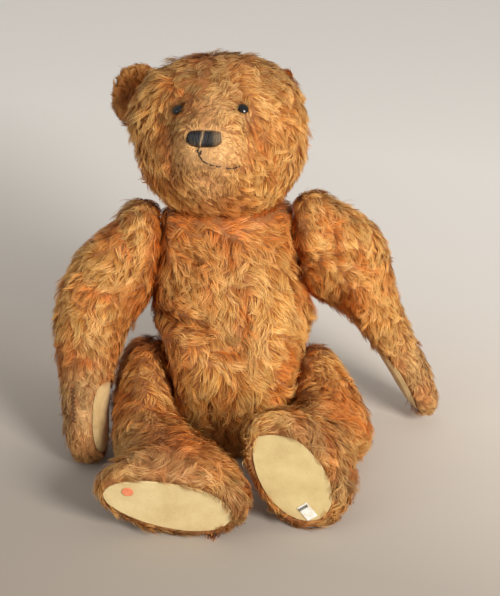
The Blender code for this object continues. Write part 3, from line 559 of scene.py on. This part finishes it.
def ribbons(name, centre, half_width, shade, facts):
    """One mesh of flat, pointed ribbons.

    centre holds an xyz for each strand and level. half_width and shade are laid out the same.
    """
    count, levels, _ = centre.shape
    left = centre[:, :-1] + half_width[:, :-1]
    right = centre[:, :-1] - half_width[:, :-1]
    pairs = np.stack((left, right), axis=2).reshape(count, -1, 3)
    points = np.concatenate((pairs, centre[:, -1:]), axis=1)
    each = points.shape[1]
    mesh = bpy.data.meshes.new(name)
    mesh.vertices.add(count * each)
    mesh.vertices.foreach_set("co", points.ravel())
    start = (np.arange(count) * each)[:, None]
    corners, sizes = [], []
    for k in range(levels - 2):
        corners.append(start + np.array((2 * k, 2 * k + 1, 2 * k + 3, 2 * k + 2)))
        sizes.append(4)
    k = levels - 2
    corners.append(start + np.array((2 * k, 2 * k + 1, each - 1)))
    sizes.append(3)
    loops = np.concatenate(corners, axis=1)
    mesh.loops.add(loops.size)
    mesh.loops.foreach_set("vertex_index", loops.ravel())
    totals = np.tile(np.array(sizes), count)
    starts = np.concatenate(((0,), np.cumsum(totals)[:-1]))
    mesh.polygons.add(len(totals))
    mesh.polygons.foreach_set("loop_start", starts)
    mesh.polygons.foreach_set("use_smooth", np.ones(len(totals), dtype=bool))
    along = np.concatenate((np.repeat(np.arange(levels - 1), 2), (levels - 1,))) / (levels - 1.0)
    facts = dict(facts)
    facts["along"] = np.tile(along, (count, 1))
    for key, value in facts.items():
        layer = mesh.attributes.new(key, "FLOAT", "POINT")
        spread = value if value.ndim == 2 else np.repeat(value[:, None], each, axis=1)
        layer.data.foreach_set("value", spread.ravel().astype(np.float32))
    cells = math.ceil(math.sqrt(count))
    column = (np.arange(count) % cells)[:, None]
    row = (np.arange(count) // cells)[:, None]
    sideways = np.concatenate((np.tile((0.15, 0.85), levels - 1), (0.5,)))
    u = (column + sideways) / cells
    v = (row + 0.1 + 0.8 * along) / cells
    uv = np.stack((u, v), axis=2).reshape(-1, 2)
    layer = mesh.uv_layers.new(name="OFBake")
    layer.data.foreach_set("uv", uv[loops.ravel()].ravel())
    mesh.update(calc_edges=True)
    mesh.validate()
    ways = np.concatenate((np.repeat(shade[:, :-1], 2, axis=1), shade[:, -1:]), axis=1)
    layer = mesh.attributes.new("custom_normal", "FLOAT_VECTOR", "POINT")
    layer.data.foreach_set("vector", ways.astype(np.float32).ravel())
    mesh.update()
    return new_object(name, mesh)


def plant_roots(name, skin, others, clear, pads):
    """Where the strands root, how the cloth faces there, and where and how far the next piece is."""
    count, _ = PILE[name]
    points, corners, normals = mesh_arrays(skin)
    facing = seen(normals)
    worn = 1.0 - length_left(name, front_view(points), facing)
    weight = (0.6 + 0.4 * facing) * (1.0 + 1.1 * worn)
    root, way = sample(points, corners, normals, weight, int(count * SPARE_ROOTS))
    beside, _, gap = nearest(others, root, NEIGHBOUR_REACH)
    keep = (gap > ROOT_GAP) & (root[:, 2] > ROOT_ABOVE_FLOOR)
    for pad in pads:
        across, off = pad_reach(pad, root)
        keep &= ~((across < 0.985) & (off < 0.012))
    if clear:
        _, _, near = nearest(clear, root, TRIM_REACH)
        keep &= near > TRIM_GAP
    root, way, gap, beside = (values[keep][:count] for values in (root, way, gap, beside))
    view, facing = front_view(root), seen(way)
    return SimpleNamespace(
        count=len(root), root=root, way=way, gap=gap, beside=beside, view=view, facing=facing,
        left=length_left(name, view, facing), reaching=ease(0.011, 0.004, gap) * facing,
    )


def comb_locks(hair, name):
    """Lays the strands down in locks. Over a narrow gap to the next piece they reach straight across."""
    root, way, reaching = hair.root, hair.way, hair.reaching[:, None]
    lie = comb_direction(name, root, way, hair.view, hair.facing)
    over = hair.beside - root
    over = unit(over - dot(over, way) * way)
    lie = unit(lie * (1.0 - GAP_REACH * reaching) + over * GAP_REACH * reaching)
    locks = max(FEWEST_LOCKS, hair.count // STRANDS_IN_LOCK)
    lock_lie = turn(lie[:locks], way[:locks], draw.normal(0.0, LOCK_TURN, locks))
    finder = KDTree(locks)
    for i, p in enumerate(root[:locks].tolist()):
        finder.insert(p, i)
    finder.balance()
    hair.locks = locks
    hair.lock = np.array([finder.find(p)[1] for p in root.tolist()])
    own = turn(lie, way, draw.normal(0.0, STRAND_TURN, hair.count))
    lie = unit(OWN_HOLD * own + LOCK_HOLD * lock_lie[hair.lock])
    hair.lie = unit(lie - dot(lie, way) * way)
    hair.side = np.cross(way, hair.lie)


def lock_uniform(hair, low, high):
    """One even random value for each lock, given to its strands."""
    return draw.uniform(low, high, hair.locks)[hair.lock]


def lock_normal(hair, middle, spread):
    """One random value around a middle for each lock, given to its strands."""
    return draw.normal(middle, spread, hair.locks)[hair.lock]


def curl_strands(hair, name, skin):
    """The places along each strand, which rises from the cloth, bends and waves like its lock."""
    _, length = PILE[name]
    root, way, count, reaching = hair.root, hair.way, hair.count, hair.reaching
    size = lock_uniform(hair, 0.78, 1.2) * draw.uniform(0.7, 1.1, count) * hair.left
    reach = length * size * longer(name, hair.view, hair.facing)
    bend = lock_normal(hair, 0.0, 0.85) + draw.normal(0.0, 0.14, count)
    wave = lock_uniform(hair, 0.02, 0.09) * draw.uniform(0.8, 1.2, count)
    phase = lock_uniform(hair, 0.0, 2.0 * math.pi) + draw.normal(0.0, 0.25, count)
    rise = lock_uniform(hair, 0.16, 0.46) * draw.uniform(0.6, 1.2, count)
    rise *= np.where(draw.random(hair.locks) < 0.12, 1.35, 1.0)[hair.lock]
    rise *= np.where(draw.random(count) < FLY_SHARE, 1.6, 1.0)
    rise *= np.maximum(0.5 + 0.5 * ease(0.002, 0.012, hair.gap), reaching)
    gather = root[hair.lock] - root
    gather -= dot(gather, way) * way
    pull = lock_uniform(hair, 0.15, 0.6)

    surface = tree_of([skin])
    levels, ups = [root - way * ROOT_DEPTH], [way]
    for k in range(1, SEGMENTS + 1):
        t = k / SEGMENTS
        sideways = reach * (0.5 * bend * t * t + wave * math.sqrt(t) * np.sin(phase + 5.5 * t))
        p = root + hair.lie * (reach * t * 0.95)[:, None] + hair.side * sideways[:, None]
        p += gather * (pull * t ** 1.2)[:, None]
        height = reach * rise * (1.0 - (1.0 - t) ** 1.9)
        place, facing, far = nearest(surface, p, SKIN_REACH)
        up = np.where(np.isfinite(far)[:, None], facing, way)
        free = p + way * (height + 0.0010 * t)[:, None]
        laid = place + up * height[:, None]
        levels.append(laid * (1.0 - reaching[:, None]) + free * reaching[:, None])
        ups.append(up)
    hair.centre = np.stack(levels, axis=1)
    hair.up = np.stack(ups, axis=1)


def lay_on_next(hair, others):
    """Lets strands that reach across a gap lie on the next piece, and keeps all above the floor."""
    for k in range(1, SEGMENTS + 1):
        place, way, far = nearest(others, hair.centre[:, k], LAY_REACH)
        inside = np.isfinite(far) & (dot(hair.centre[:, k] - place, way)[:, 0] < TRIM_GAP)
        inside &= hair.reaching > 0.25
        hair.centre[inside, k] = (place + way * LAID_ABOVE)[inside]
    hair.centre[:, :, 2] = np.maximum(hair.centre[:, :, 2], FLOOR_CLEAR)


def free_strands(hair, others, clear, pads):
    """Which strands enter neither the next piece nor a pad, an eye, the nose or a stitch."""
    free = np.ones(hair.count, dtype=bool)
    for k in (SEGMENTS // 2 + 1, SEGMENTS):
        p = hair.centre[:, k]
        place, way, far = nearest(others, p, CUT_REACH)
        free &= ~(np.isfinite(far) & (dot(p - place, way)[:, 0] < INSIDE_GAP))
        if clear:
            _, _, far = nearest(clear, p, TRIM_REACH)
            over_eyes = (hair.view[:, 1] < EYE_LINE) & (draw.random(hair.count) < 0.7)
            free &= (far > TRIM_TIP_GAP) | (draw.random(hair.count) < 0.06) | over_eyes
        for pad in pads:
            across, off = pad_reach(pad, p)
            free &= ~((across < 0.9) & (off < 0.016))
    return free


def spread_and_shade(hair):
    """Half of each ribbon's width, and which way it is shaded.

    Light falls on a lock of hair as on one soft form, so a strand is shaded mostly like its lock.
    """
    direction = unit(hair.centre[:, 1:] - hair.centre[:, :-1])
    direction = np.concatenate((direction[:, :1], direction), axis=1)
    roll = draw.normal(0.0, 0.5, hair.count)
    flat_side = unit(np.cross(hair.way, hair.lie))
    tilted = flat_side * np.cos(roll)[:, None] + hair.way * np.sin(roll)[:, None]
    across = unit(tilted[:, None, :] - dot(tilted[:, None, :], direction) * direction)
    width = draw.uniform(THINNEST_STRAND, WIDEST_STRAND, hair.count)
    width = width * (0.75 + 0.25 * hair.left) * (1.35 - 0.35 * hair.facing)
    half = across * (width[:, None] * TAPER[None, :])[:, :, None]
    lean = lock_normal(hair, 0.0, 0.34) + draw.normal(0.0, 0.08, hair.count)
    tip = lock_normal(hair, 0.12, 0.28) + draw.normal(0.0, 0.08, hair.count)
    shade = hair.up + hair.side[:, None] * lean[:, None, None] + direction * tip[:, None, None]
    face = np.cross(direction, across)
    return half, unit(shade + 0.15 * face * np.sign(dot(face, hair.up)))


def strand_facts(hair, name):
    """What the pile's material reads for each strand."""
    view, facing = hair.view, hair.facing
    # Brightness of each lock and strand: random tone, and a share of strands painted brighter as painted
    # highlights.
    tone_and_highlight = 0.43 + lock_normal(hair, 0.0, 0.12) + draw.normal(0.0, 0.05, hair.count)
    tone_and_highlight += np.where(draw.random(hair.count) < HIGHLIGHT_STRAND_SHARE, 0.35, 0.0)
    # Grey pile: dust greying, and painted shade where it darkens the top of the head and the feet.
    dust = spots(GREYED_AND_SHADE.get(name, ()), view, facing, 0.04)
    return {
        "lock": np.clip(tone_and_highlight, 0.0, 1.0),
        "grey_and_shade": dust * (0.8 + 0.4 * draw.random(hair.count)),
        # The deep colour: painted shade in creases and where the next piece is near, painted shade and kept
        # colour in the listed folds, and random deeper patches.
        "deep_and_shade": np.maximum.reduce((
            spots(DEEP_AND_SHADE.get(name, ()), view, facing, 0.0),
            1.0 - ease(0.002, 0.022, hair.gap),
            0.55 * ease(0.0, 0.75, wander(hair.root[hair.lock], 0.019, 2.2)),
            0.8 * in_creases(CREASES.get(name, ()), view, facing)[1],
        )),
        # Dark marks: matted fur, and painted shade in the ear's cup, an armpit and a torso crease.
        "matted_and_shade": spots(MATTED_AND_SHADE.get(name, ()), view, facing, 0.0),
        "worn": 1.0 - hair.left,
    }


def grow_pile(name, skin, others, clear, pads):
    """Wavy locks of mohair that lie over the cloth."""
    hair = plant_roots(name, skin, others, clear, pads)
    comb_locks(hair, name)
    curl_strands(hair, name, skin)
    lay_on_next(hair, others)
    free = free_strands(hair, others, clear, pads)
    half, shade = spread_and_shade(hair)
    facts = {key: value[free] for key, value in strand_facts(hair, name).items()}
    return ribbons(f"{name}_pile", hair.centre[free], half[free], shade[free], facts)


def node_tree(name):
    """A new material, its nodes and its shader."""
    material = bpy.data.materials.new(name)
    material.use_nodes = True
    tree = material.node_tree
    return material, tree, tree.nodes["Principled BSDF"]


def add(tree, kind, **values):
    node = tree.nodes.new(kind)
    for key, value in values.items():
        setattr(node, key, value)
    return node


def attribute(tree, name):
    return add(tree, "ShaderNodeAttribute", attribute_name=name).outputs["Fac"]


def put(tree, value, socket):
    """Links a socket to another one, or gives it a value."""
    if isinstance(value, bpy.types.NodeSocket):
        tree.links.new(value, socket)
    else:
        socket.default_value = value


def look(tree, shader, colour, roughness):
    """Gives a shader its colour and how rough it is."""
    put(tree, colour, shader.inputs["Base Color"])
    put(tree, roughness, shader.inputs["Roughness"])


def ramp(tree, source, *stops):
    """Colours between stops, each a place from 0 to 1 and its colour."""
    node = add(tree, "ShaderNodeValToRGB")
    tree.links.new(source, node.inputs["Fac"])
    band = node.color_ramp
    while len(band.elements) < len(stops):
        band.elements.new(0.5)
    for element, (place, colour) in zip(band.elements, stops):
        element.position = place
        element.color = colour
    return node.outputs["Color"]


def mix(tree, amount, a, b, blend="MIX"):
    node = add(tree, "ShaderNodeMix", data_type="RGBA", blend_type=blend)
    for socket, value in ((node.inputs[0], amount), (node.inputs[6], a), (node.inputs[7], b)):
        put(tree, value, socket)
    return node.outputs[2]


def maths(tree, operation, a, b=0.0, c=0.0):
    node = add(tree, "ShaderNodeMath", operation=operation)
    for socket, value in zip(node.inputs, (a, b, c)):
        put(tree, value, socket)
    return node.outputs[0]


def noise(tree, scale, detail=3.0, roughness=0.55, distortion=0.0):
    node = add(tree, "ShaderNodeTexNoise")
    node.inputs["Scale"].default_value = scale
    node.inputs["Detail"].default_value = detail
    node.inputs["Roughness"].default_value = roughness
    node.inputs["Distortion"].default_value = distortion
    tree.links.new(add(tree, "ShaderNodeTexCoord").outputs["Object"], node.inputs["Vector"])
    return node.outputs["Fac"]


def bump(tree, shader, height, strength, distance):
    node = add(tree, "ShaderNodeBump")
    node.inputs["Strength"].default_value = strength
    node.inputs["Distance"].default_value = distance
    tree.links.new(height, node.inputs["Height"])
    tree.links.new(node.outputs["Normal"], shader.inputs["Normal"])


def pile_material():
    """Faded golden mohair: deep orange at the root, pale at the tip, with painted shade in folds, creases and
    gaps between pieces, and painted highlights on single strands.
    """
    material, tree, shader = node_tree("mohair_pile")
    along = attribute(tree, "along")
    faded = ramp(
        tree, along,
        (0.0, linear(184, 102, 34)), (0.3, linear(224, 156, 76)), (1.0, linear(255, 218, 145)),
    )
    deep_and_shade = ramp(
        tree, along,
        (0.0, linear(150, 54, 6)), (0.4, linear(202, 96, 22)), (1.0, linear(234, 140, 52)),
    )
    # A darker grey, for dust greying and for painted shade on the top of the head and the feet.
    grey_and_shade = ramp(
        tree, along,
        (0.0, linear(116, 76, 40)), (0.4, linear(156, 112, 68)), (1.0, linear(206, 166, 118)),
    )
    colour = mix(tree, attribute(tree, "grey_and_shade"), faded, grey_and_shade)
    # Painted shade: the deep ramp in creases, folds and gaps between pieces, with the folds' kept colour.
    colour = mix(tree, attribute(tree, "deep_and_shade"), colour, deep_and_shade)
    patches = noise(tree, 42.0)
    patchy = ramp(tree, patches, (0.35, (0.86, 0.8, 0.72, 1.0)), (0.65, (1.06, 1.06, 1.04, 1.0)))
    colour = mix(tree, 1.0, colour, patchy, "MULTIPLY")
    colour = mix(tree, maths(tree, "MULTIPLY", attribute(tree, "worn"), 0.9), colour, linear(240, 196, 138))
    lock = attribute(tree, "lock")
    # Lock tone, and painted highlights on the bright strands.
    lock_tone_and_highlight = ramp(tree, lock, (0.1, (0.76, 0.7, 0.62, 1.0)), (0.9, (1.24, 1.24, 1.22, 1.0)))
    colour = mix(tree, 1.0, colour, lock_tone_and_highlight, "MULTIPLY")
    # Dark marks: matted fur, and painted shade in the ear's cup, an armpit and a torso crease.
    colour = mix(tree, attribute(tree, "matted_and_shade"), colour, linear(46, 30, 20))
    look(tree, shader, colour, maths(tree, "MULTIPLY_ADD", lock, -0.1, 0.5))
    shader.inputs["Specular IOR Level"].default_value = 0.5
    shader.inputs["Specular Tint"].default_value = (1.0, 0.8, 0.5, 1.0)
    return material


def weave(tree, scale):
    """Crossed threads, from waves along two ways."""
    where = add(tree, "ShaderNodeTexCoord").outputs["Object"]
    heights = []
    for direction in ("X", "Z"):
        wave = add(tree, "ShaderNodeTexWave", bands_direction=direction)
        wave.inputs["Scale"].default_value = scale
        wave.inputs["Distortion"].default_value = 1.2
        wave.inputs["Detail"].default_value = 2.0
        wave.inputs["Detail Scale"].default_value = 1.5
        tree.links.new(where, wave.inputs["Vector"])
        heights.append(wave.outputs["Fac"])
    return maths(tree, "MAXIMUM", heights[0], heights[1])


def cloth_material():
    """The woven ground that shows where the pile is worn away."""
    material, tree, shader = node_tree("mohair_ground")
    threads = weave(tree, 260.0)
    bare = attribute(tree, "worn")
    hidden = ramp(tree, noise(tree, 300.0), (0.3, linear(146, 86, 38)), (0.7, linear(190, 128, 72)))
    shown = ramp(tree, threads, (0.1, linear(146, 92, 48)), (0.6, linear(214, 166, 112)))
    colour = mix(tree, bare, hidden, shown)
    stain = ramp(tree, noise(tree, 60.0), (0.35, (0.72, 0.66, 0.6, 1.0)), (0.6, (1.0, 1.0, 1.0, 1.0)))
    colour = mix(tree, 1.0, colour, stain, "MULTIPLY")
    look(tree, shader, colour, 0.85)
    bump(tree, shader, threads, 0.8, 0.0005)
    return material


def felt_material(name, light, dark):
    """Matted wool, soiled in cloudy patches."""
    material, tree, shader = node_tree(name)
    clouds = ramp(tree, noise(tree, 38.0, 5.0), (0.32, linear(*dark)), (0.62, linear(*light)))
    dirt = noise(tree, 900.0, 2.0)
    specks = ramp(tree, dirt, (0.24, (0.55, 0.5, 0.42, 1.0)), (0.36, (1.0, 1.0, 1.0, 1.0)))
    colour = mix(tree, 1.0, clouds, specks, "MULTIPLY")
    fibre = noise(tree, 1400.0, 4.0, 0.7, 2.0)
    mottle = ramp(tree, fibre, (0.3, (0.86, 0.85, 0.82, 1.0)), (0.7, (1.06, 1.06, 1.05, 1.0)))
    colour = mix(tree, 1.0, colour, mottle, "MULTIPLY")
    look(tree, shader, colour, 0.95)
    shader.inputs["Sheen Weight"].default_value = 0.15
    bump(tree, shader, fibre, 0.35, 0.0005)
    return material


def thread_material():
    """Black cotton, twisted, dulled brown where it is rubbed."""
    material, tree, shader = node_tree("black_thread")
    twist = noise(tree, 1500.0, 2.0, 0.5, 1.0)
    colour = ramp(tree, twist, (0.3, linear(9, 9, 12)), (0.75, linear(34, 31, 32)))
    rubbed = ramp(tree, twist, (0.3, linear(122, 92, 60)), (0.75, linear(206, 172, 126)))
    colour = mix(tree, attribute(tree, "worn"), colour, rubbed)
    look(tree, shader, colour, 0.5)
    bump(tree, shader, twist, 0.6, 0.0004)
    return material


def button_material():
    """Varnished black wood with fine scratches."""
    material, tree, shader = node_tree("boot_button")
    dust = noise(tree, 500.0)
    colour = ramp(tree, dust, (0.4, linear(7, 6, 7)), (0.8, linear(20, 16, 14)))
    look(tree, shader, colour, maths(tree, "MULTIPLY_ADD", dust, 0.2, 0.06))
    bump(tree, shader, noise(tree, 900.0), 0.08, 0.0002)
    return material


def board_material():
    """Brown hardboard."""
    material, tree, shader = node_tree("pressed_board")
    colour = ramp(tree, noise(tree, 400.0), (0.35, linear(120, 84, 52)), (0.65, linear(160, 120, 80)))
    look(tree, shader, colour, 0.8)
    bump(tree, shader, noise(tree, 700.0), 0.3, 0.0003)
    return material


def steel_material():
    """Steel gone dull, with a brown tinge in places."""
    material, tree, shader = node_tree("dull_steel")
    colour = ramp(tree, noise(tree, 300.0), (0.4, linear(120, 110, 100)), (0.7, linear(170, 168, 165)))
    look(tree, shader, colour, maths(tree, "MULTIPLY_ADD", noise(tree, 500.0), 0.3, 0.25))
    shader.inputs["Metallic"].default_value = 1.0
    return material


def tape_material():
    """White cotton tape, a little stained."""
    material, tree, shader = node_tree("cotton_tape")
    threads = weave(tree, 420.0)
    colour = ramp(tree, threads, (0.1, linear(205, 200, 186)), (0.7, linear(240, 238, 230)))
    stain = ramp(tree, noise(tree, 160.0), (0.35, (0.82, 0.78, 0.7, 1.0)), (0.6, (1.0, 1.0, 1.0, 1.0)))
    colour = mix(tree, 1.0, colour, stain, "MULTIPLY")
    look(tree, shader, colour, 0.9)
    bump(tree, shader, threads, 0.4, 0.0003)
    return material


def sticker_material():
    """Orange paper, unevenly faded."""
    material, tree, shader = node_tree("sticker")
    colour = ramp(tree, noise(tree, 220.0), (0.35, linear(232, 118, 78)), (0.65, linear(244, 150, 108)))
    look(tree, shader, colour, 0.55)
    bump(tree, shader, noise(tree, 600.0), 0.1, 0.0002)
    return material


def dress_pad(name, body, material):
    """A felt pad with the soft unevenness of cloth over stuffing."""
    obj = new_object(f"{name}_felt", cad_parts[name].data.copy())
    divide = obj.modifiers.new("divide", "SUBSURF")
    divide.subdivision_type = "SIMPLE"
    divide.levels = 1
    apply_modifiers(obj)
    points, _, normals = mesh_arrays(obj)
    lift = 0.00022 * wander(points, 0.006, 0.4) + 0.00012 * wander(points, 0.0025, 2.0) - 0.00015
    obj.data.vertices.foreach_set("co", (points + normals * lift[:, None]).ravel())
    shade_smooth(obj.data)
    obj.data.materials.clear()
    obj.data.materials.append(material)
    obj.data.update()
    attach(obj, body)
    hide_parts(name)


def drop(tree, x, y):
    """The place on a surface that shows at a place in the front view, and how it faces."""
    eye = AIM + TOWARD * CAMERA_DISTANCE
    ray = RIGHT * (x - GRID_MIDDLE[0]) / FOCAL_STEPS + UPWARD * (GRID_MIDDLE[1] - y) / FOCAL_STEPS - TOWARD
    place, way, _, _ = tree.ray_cast(Vector(eye), Vector(ray))
    return (np.array(place), np.array(way)) if place is not None else (None, None)


def tube(points, ways, radius):
    """The points and faces of a thread along points, flattened against the cloth."""
    verts, faces = [], []
    sides = THREAD_SIDES
    last = len(points) - 1
    for k, (p, up) in enumerate(zip(points, ways)):
        run = unit(points[min(k + 1, last)] - points[max(k - 1, 0)])
        side = unit(np.cross(run, up))
        up = np.cross(side, run)
        size = radius * (0.45 if k in (0, last) else 1.0)
        for j in range(sides):
            a = 2.0 * math.pi * j / sides
            verts.append(p + (side * math.cos(a) + up * math.sin(a) * THREAD_FLAT) * size)
    for k in range(last):
        for j in range(sides):
            a, b = k * sides + j, k * sides + (j + 1) % sides
            faces.append((a, b, b + sides, a + sides))
    faces.append(tuple(range(sides))[::-1])
    faces.append(tuple(last * sides + j for j in range(sides)))
    return verts, faces


def threads(name, node, body, surface, runs, radius, lift, material, worn=None):
    """Stitches laid on a surface between places in the front view, which stand for a node."""
    verts, faces, share = [], [], []
    for x0, y0, x1, y1 in runs:
        points, ways, wear = [], [], []
        for k in range(STITCH_STEPS + 1):
            t = k / STITCH_STEPS
            x, y = x0 + (x1 - x0) * t, y0 + (y1 - y0) * t
            place, way = drop(surface, x, y)
            if place is None:
                continue
            arch = math.sin(math.pi * t) ** 0.5
            points.append(place + way * (lift * arch - 0.6 * radius * (1.0 - arch)))
            ways.append(way)
            wear.append(worn(x, y) if worn else 0.0)
        if len(points) < 3:
            continue
        v, f = tube(points, ways, radius)
        faces += [tuple(i + len(verts) for i in face) for face in f]
        verts += v
        share += list(np.repeat(wear, THREAD_SIDES))
    obj = new_mesh_object(name, [tuple(v) for v in verts], faces)
    give_wear(obj, np.array(share))
    shade_smooth(obj.data)
    obj.data.materials.append(material)
    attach(obj, body)
    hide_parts(node)


def nose_wear(x, y):
    """Worn through along a slanting line, and faded at its far end."""
    line = math.exp(-((x - (202.3 - 0.22 * (y - 135.0))) / 1.0) ** 2)
    faded = 0.42 * float(ease(210.0, 217.0, x))
    foot = 0.5 * math.exp(-((x - 192.0) / 4.0) ** 2 - ((y - 146.0) / 2.0) ** 2)
    return max(line, faded, foot)


def sew_face(skins):
    """The satin stitches of the nose, and what is left of the mouth's."""
    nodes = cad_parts
    surface = tree_of([nodes["nose_stitching"], nodes["head"]])
    thread = thread_material()
    runs = []
    for k in range(NOSE_STITCHES):
        x = 188.6 + 31.6 * k / (NOSE_STITCHES - 1)
        across = (x - 204.5) / 16.5
        top = 130.0 + 2.2 * across ** 4
        foot = 147.6 - 5.0 * across ** 4
        runs.append((x, top, x - 0.6 + 1.6 * across, foot))
    made, node = "nose_threads", "nose_stitching"
    threads(made, node, "head", surface, runs, NOSE_THREAD, NOSE_LIFT, thread, nose_wear)
    cloth = tree_of([skins["head"]])
    centre = (
        (199.5, 147.5, 197.6, 152.5), (196.4, 149.5, 200.6, 154.6), (198.6, 153.6, 201.6, 158.6),
        (200.4, 157.2, 204.6, 162.4), (203.4, 161.0, 208.6, 163.8), (201.6, 150.4, 200.6, 155.0),
    )
    left = (
        (209.4, 164.0, 214.4, 165.4), (215.6, 165.6, 221.0, 166.4), (226.0, 167.6, 231.6, 168.2),
        (230.6, 168.2, 236.0, 167.4), (235.2, 167.4, 240.4, 165.2),
    )
    right = ((178.4, 163.4, 180.6, 167.2),)
    for side, marks in (("centre", centre), ("left", left), ("right", right)):
        made, node = f"mouth_{side}_stitches", f"mouth_{side}_thread"
        threads(made, node, "head", cloth, marks, MOUTH_THREAD, MOUTH_LIFT, thread)


def make_camera():
    data = bpy.data.cameras.new("camera")
    data.sensor_fit = "HORIZONTAL"
    data.sensor_width = SENSOR_WIDTH
    data.lens = FOCAL_STEPS / IMAGE_WIDTH * data.sensor_width
    camera = new_object("camera", data)
    camera.location = AIM + TOWARD * CAMERA_DISTANCE
    camera.rotation_euler = (math.pi / 2.0 - LOOK_DOWN, 0.0, 0.0)
    bpy.context.scene.camera = camera


def make_light(name, place, size, power, colour):
    data = bpy.data.lights.new(name, "AREA")
    data.shape = "DISK"
    data.size = size
    data.energy = power
    data.color = colour
    lamp = new_object(name, data)
    lamp.location = place
    aim = Vector(LIT_PLACE) - Vector(place)
    lamp.rotation_euler = aim.to_track_quat("-Z", "Y").to_euler()


def make_studio():
    """A pale floor painted darker towards the front and the left as shade and lighter towards the back right
    as light, a large soft lamp at the front right, a weak one at the left and a soft sky.
    """
    corners = [(x * FLOOR_HALF, y * FLOOR_HALF, 0.0) for x, y in ((-1, -1), (1, -1), (1, 1), (-1, 1))]
    floor = new_mesh_object("floor", corners, [(0, 1, 2, 3)])
    material, tree, shader = node_tree("floor_paper")
    parts = add(tree, "ShaderNodeSeparateXYZ")
    tree.links.new(add(tree, "ShaderNodeTexCoord").outputs["Object"], parts.inputs[0])
    # Painted light and shade on the floor: darker towards the front and the left, lighter towards the back
    # and the right.
    toward_painted_light = maths(tree, "MULTIPLY_ADD", parts.outputs["X"], 0.45, parts.outputs["Y"])
    toward_painted_light = maths(tree, "MULTIPLY_ADD", toward_painted_light, 0.5, 0.5)
    colour = ramp(
        tree, toward_painted_light,
        (0.25, linear(154, 143, 131)), (0.40, linear(168, 159, 149)), (0.575, linear(215, 205, 194)),
        (0.72, linear(234, 227, 219)), (0.95, linear(252, 247, 241)),
    )
    look(tree, shader, colour, 0.9)
    shader.inputs["Specular IOR Level"].default_value = 0.1
    floor.data.materials.append(material)
    world = bpy.data.worlds.new("studio")
    world.use_nodes = True
    back = world.node_tree.nodes["Background"]
    back.inputs["Color"].default_value = (1.0, 0.98, 0.95, 1.0)
    back.inputs["Strength"].default_value = 0.5
    bpy.context.scene.world = world
    make_light("key", (1.0, -1.6, 1.0), size=0.7, power=47.5, colour=(1.0, 0.97, 0.92))
    make_light("fill", (-1.3, -1.1, 0.7), size=1.2, power=5.0, colour=(0.96, 0.98, 1.0))
    bpy.context.scene.view_settings.view_transform = "Standard"


def main():
    """Camera and light, then cloth and pile piece by piece, the face, the pads and what is kept."""
    make_camera()
    make_studio()
    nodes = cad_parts
    cloth = cloth_material()
    pile = pile_material()
    skins = {name: make_skin(name) for name in BODY_OF}
    body_nodes = dict(BODY_OF, **PADS)
    own_clear = {
        "head": tree_of([nodes[n] for n in ON_FACE]),
        "arm_right": tree_of([nodes["forearm_repair_thread"]]),
    }
    own_pads = {
        "arm_right": [pad_frame("paw_pad_right")],
        "arm_left": [pad_frame("paw_pad_left")],
        "leg_right": [pad_frame("foot_pad_right")],
        "leg_left": [pad_frame("foot_pad_left")],
    }
    for name, body in BODY_OF.items():
        skin = skins[name]
        others = [nodes[n] for n, b in body_nodes.items() if b != body]
        if name.startswith("ear"):
            others.append(nodes["head"])
        points, _, normals = mesh_arrays(skin)
        left = length_left(name, front_view(points), seen(normals))
        give_wear(skin, ease(0.25, 0.7, 1.0 - left))
        skin.data.materials.append(cloth)
        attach(skin, body)
        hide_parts(name)
        hair = grow_pile(name, skin, tree_of(others), own_clear.get(name), own_pads.get(name, ()))
        hair.data.materials.append(pile)
        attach(hair, body)
    felts = {
        "foot_pad_right": felt_material("right_sole_felt", (232, 209, 154), (216, 189, 132)),
        "foot_pad_left": felt_material("left_sole_felt", (210, 188, 134), (194, 168, 116)),
    }
    paw_felt = felt_material("paw_felt", (206, 176, 124), (170, 138, 92))
    sew_face(skins)
    for name, body in PADS.items():
        dress_pad(name, body, felts.get(name, paw_felt))
    kept = {
        "eye": button_material(),
        "disc": board_material(),
        "washer": steel_material(),
        "pin": steel_material(),
        "tag": tape_material(),
        "sticker": sticker_material(),
        "thread": thread_material(),
        "stitching": thread_material(),
    }
    # The solids that show as they are get a material by the first of these words in their names.
    for name, obj in nodes.items():
        for word in ("thread", "stitching", "disc", "washer", "pin", "eye", "sticker", "tag"):
            if word in name.split("_"):
                obj.data.materials.clear()
                obj.data.materials.append(kept[word])
                break


main()
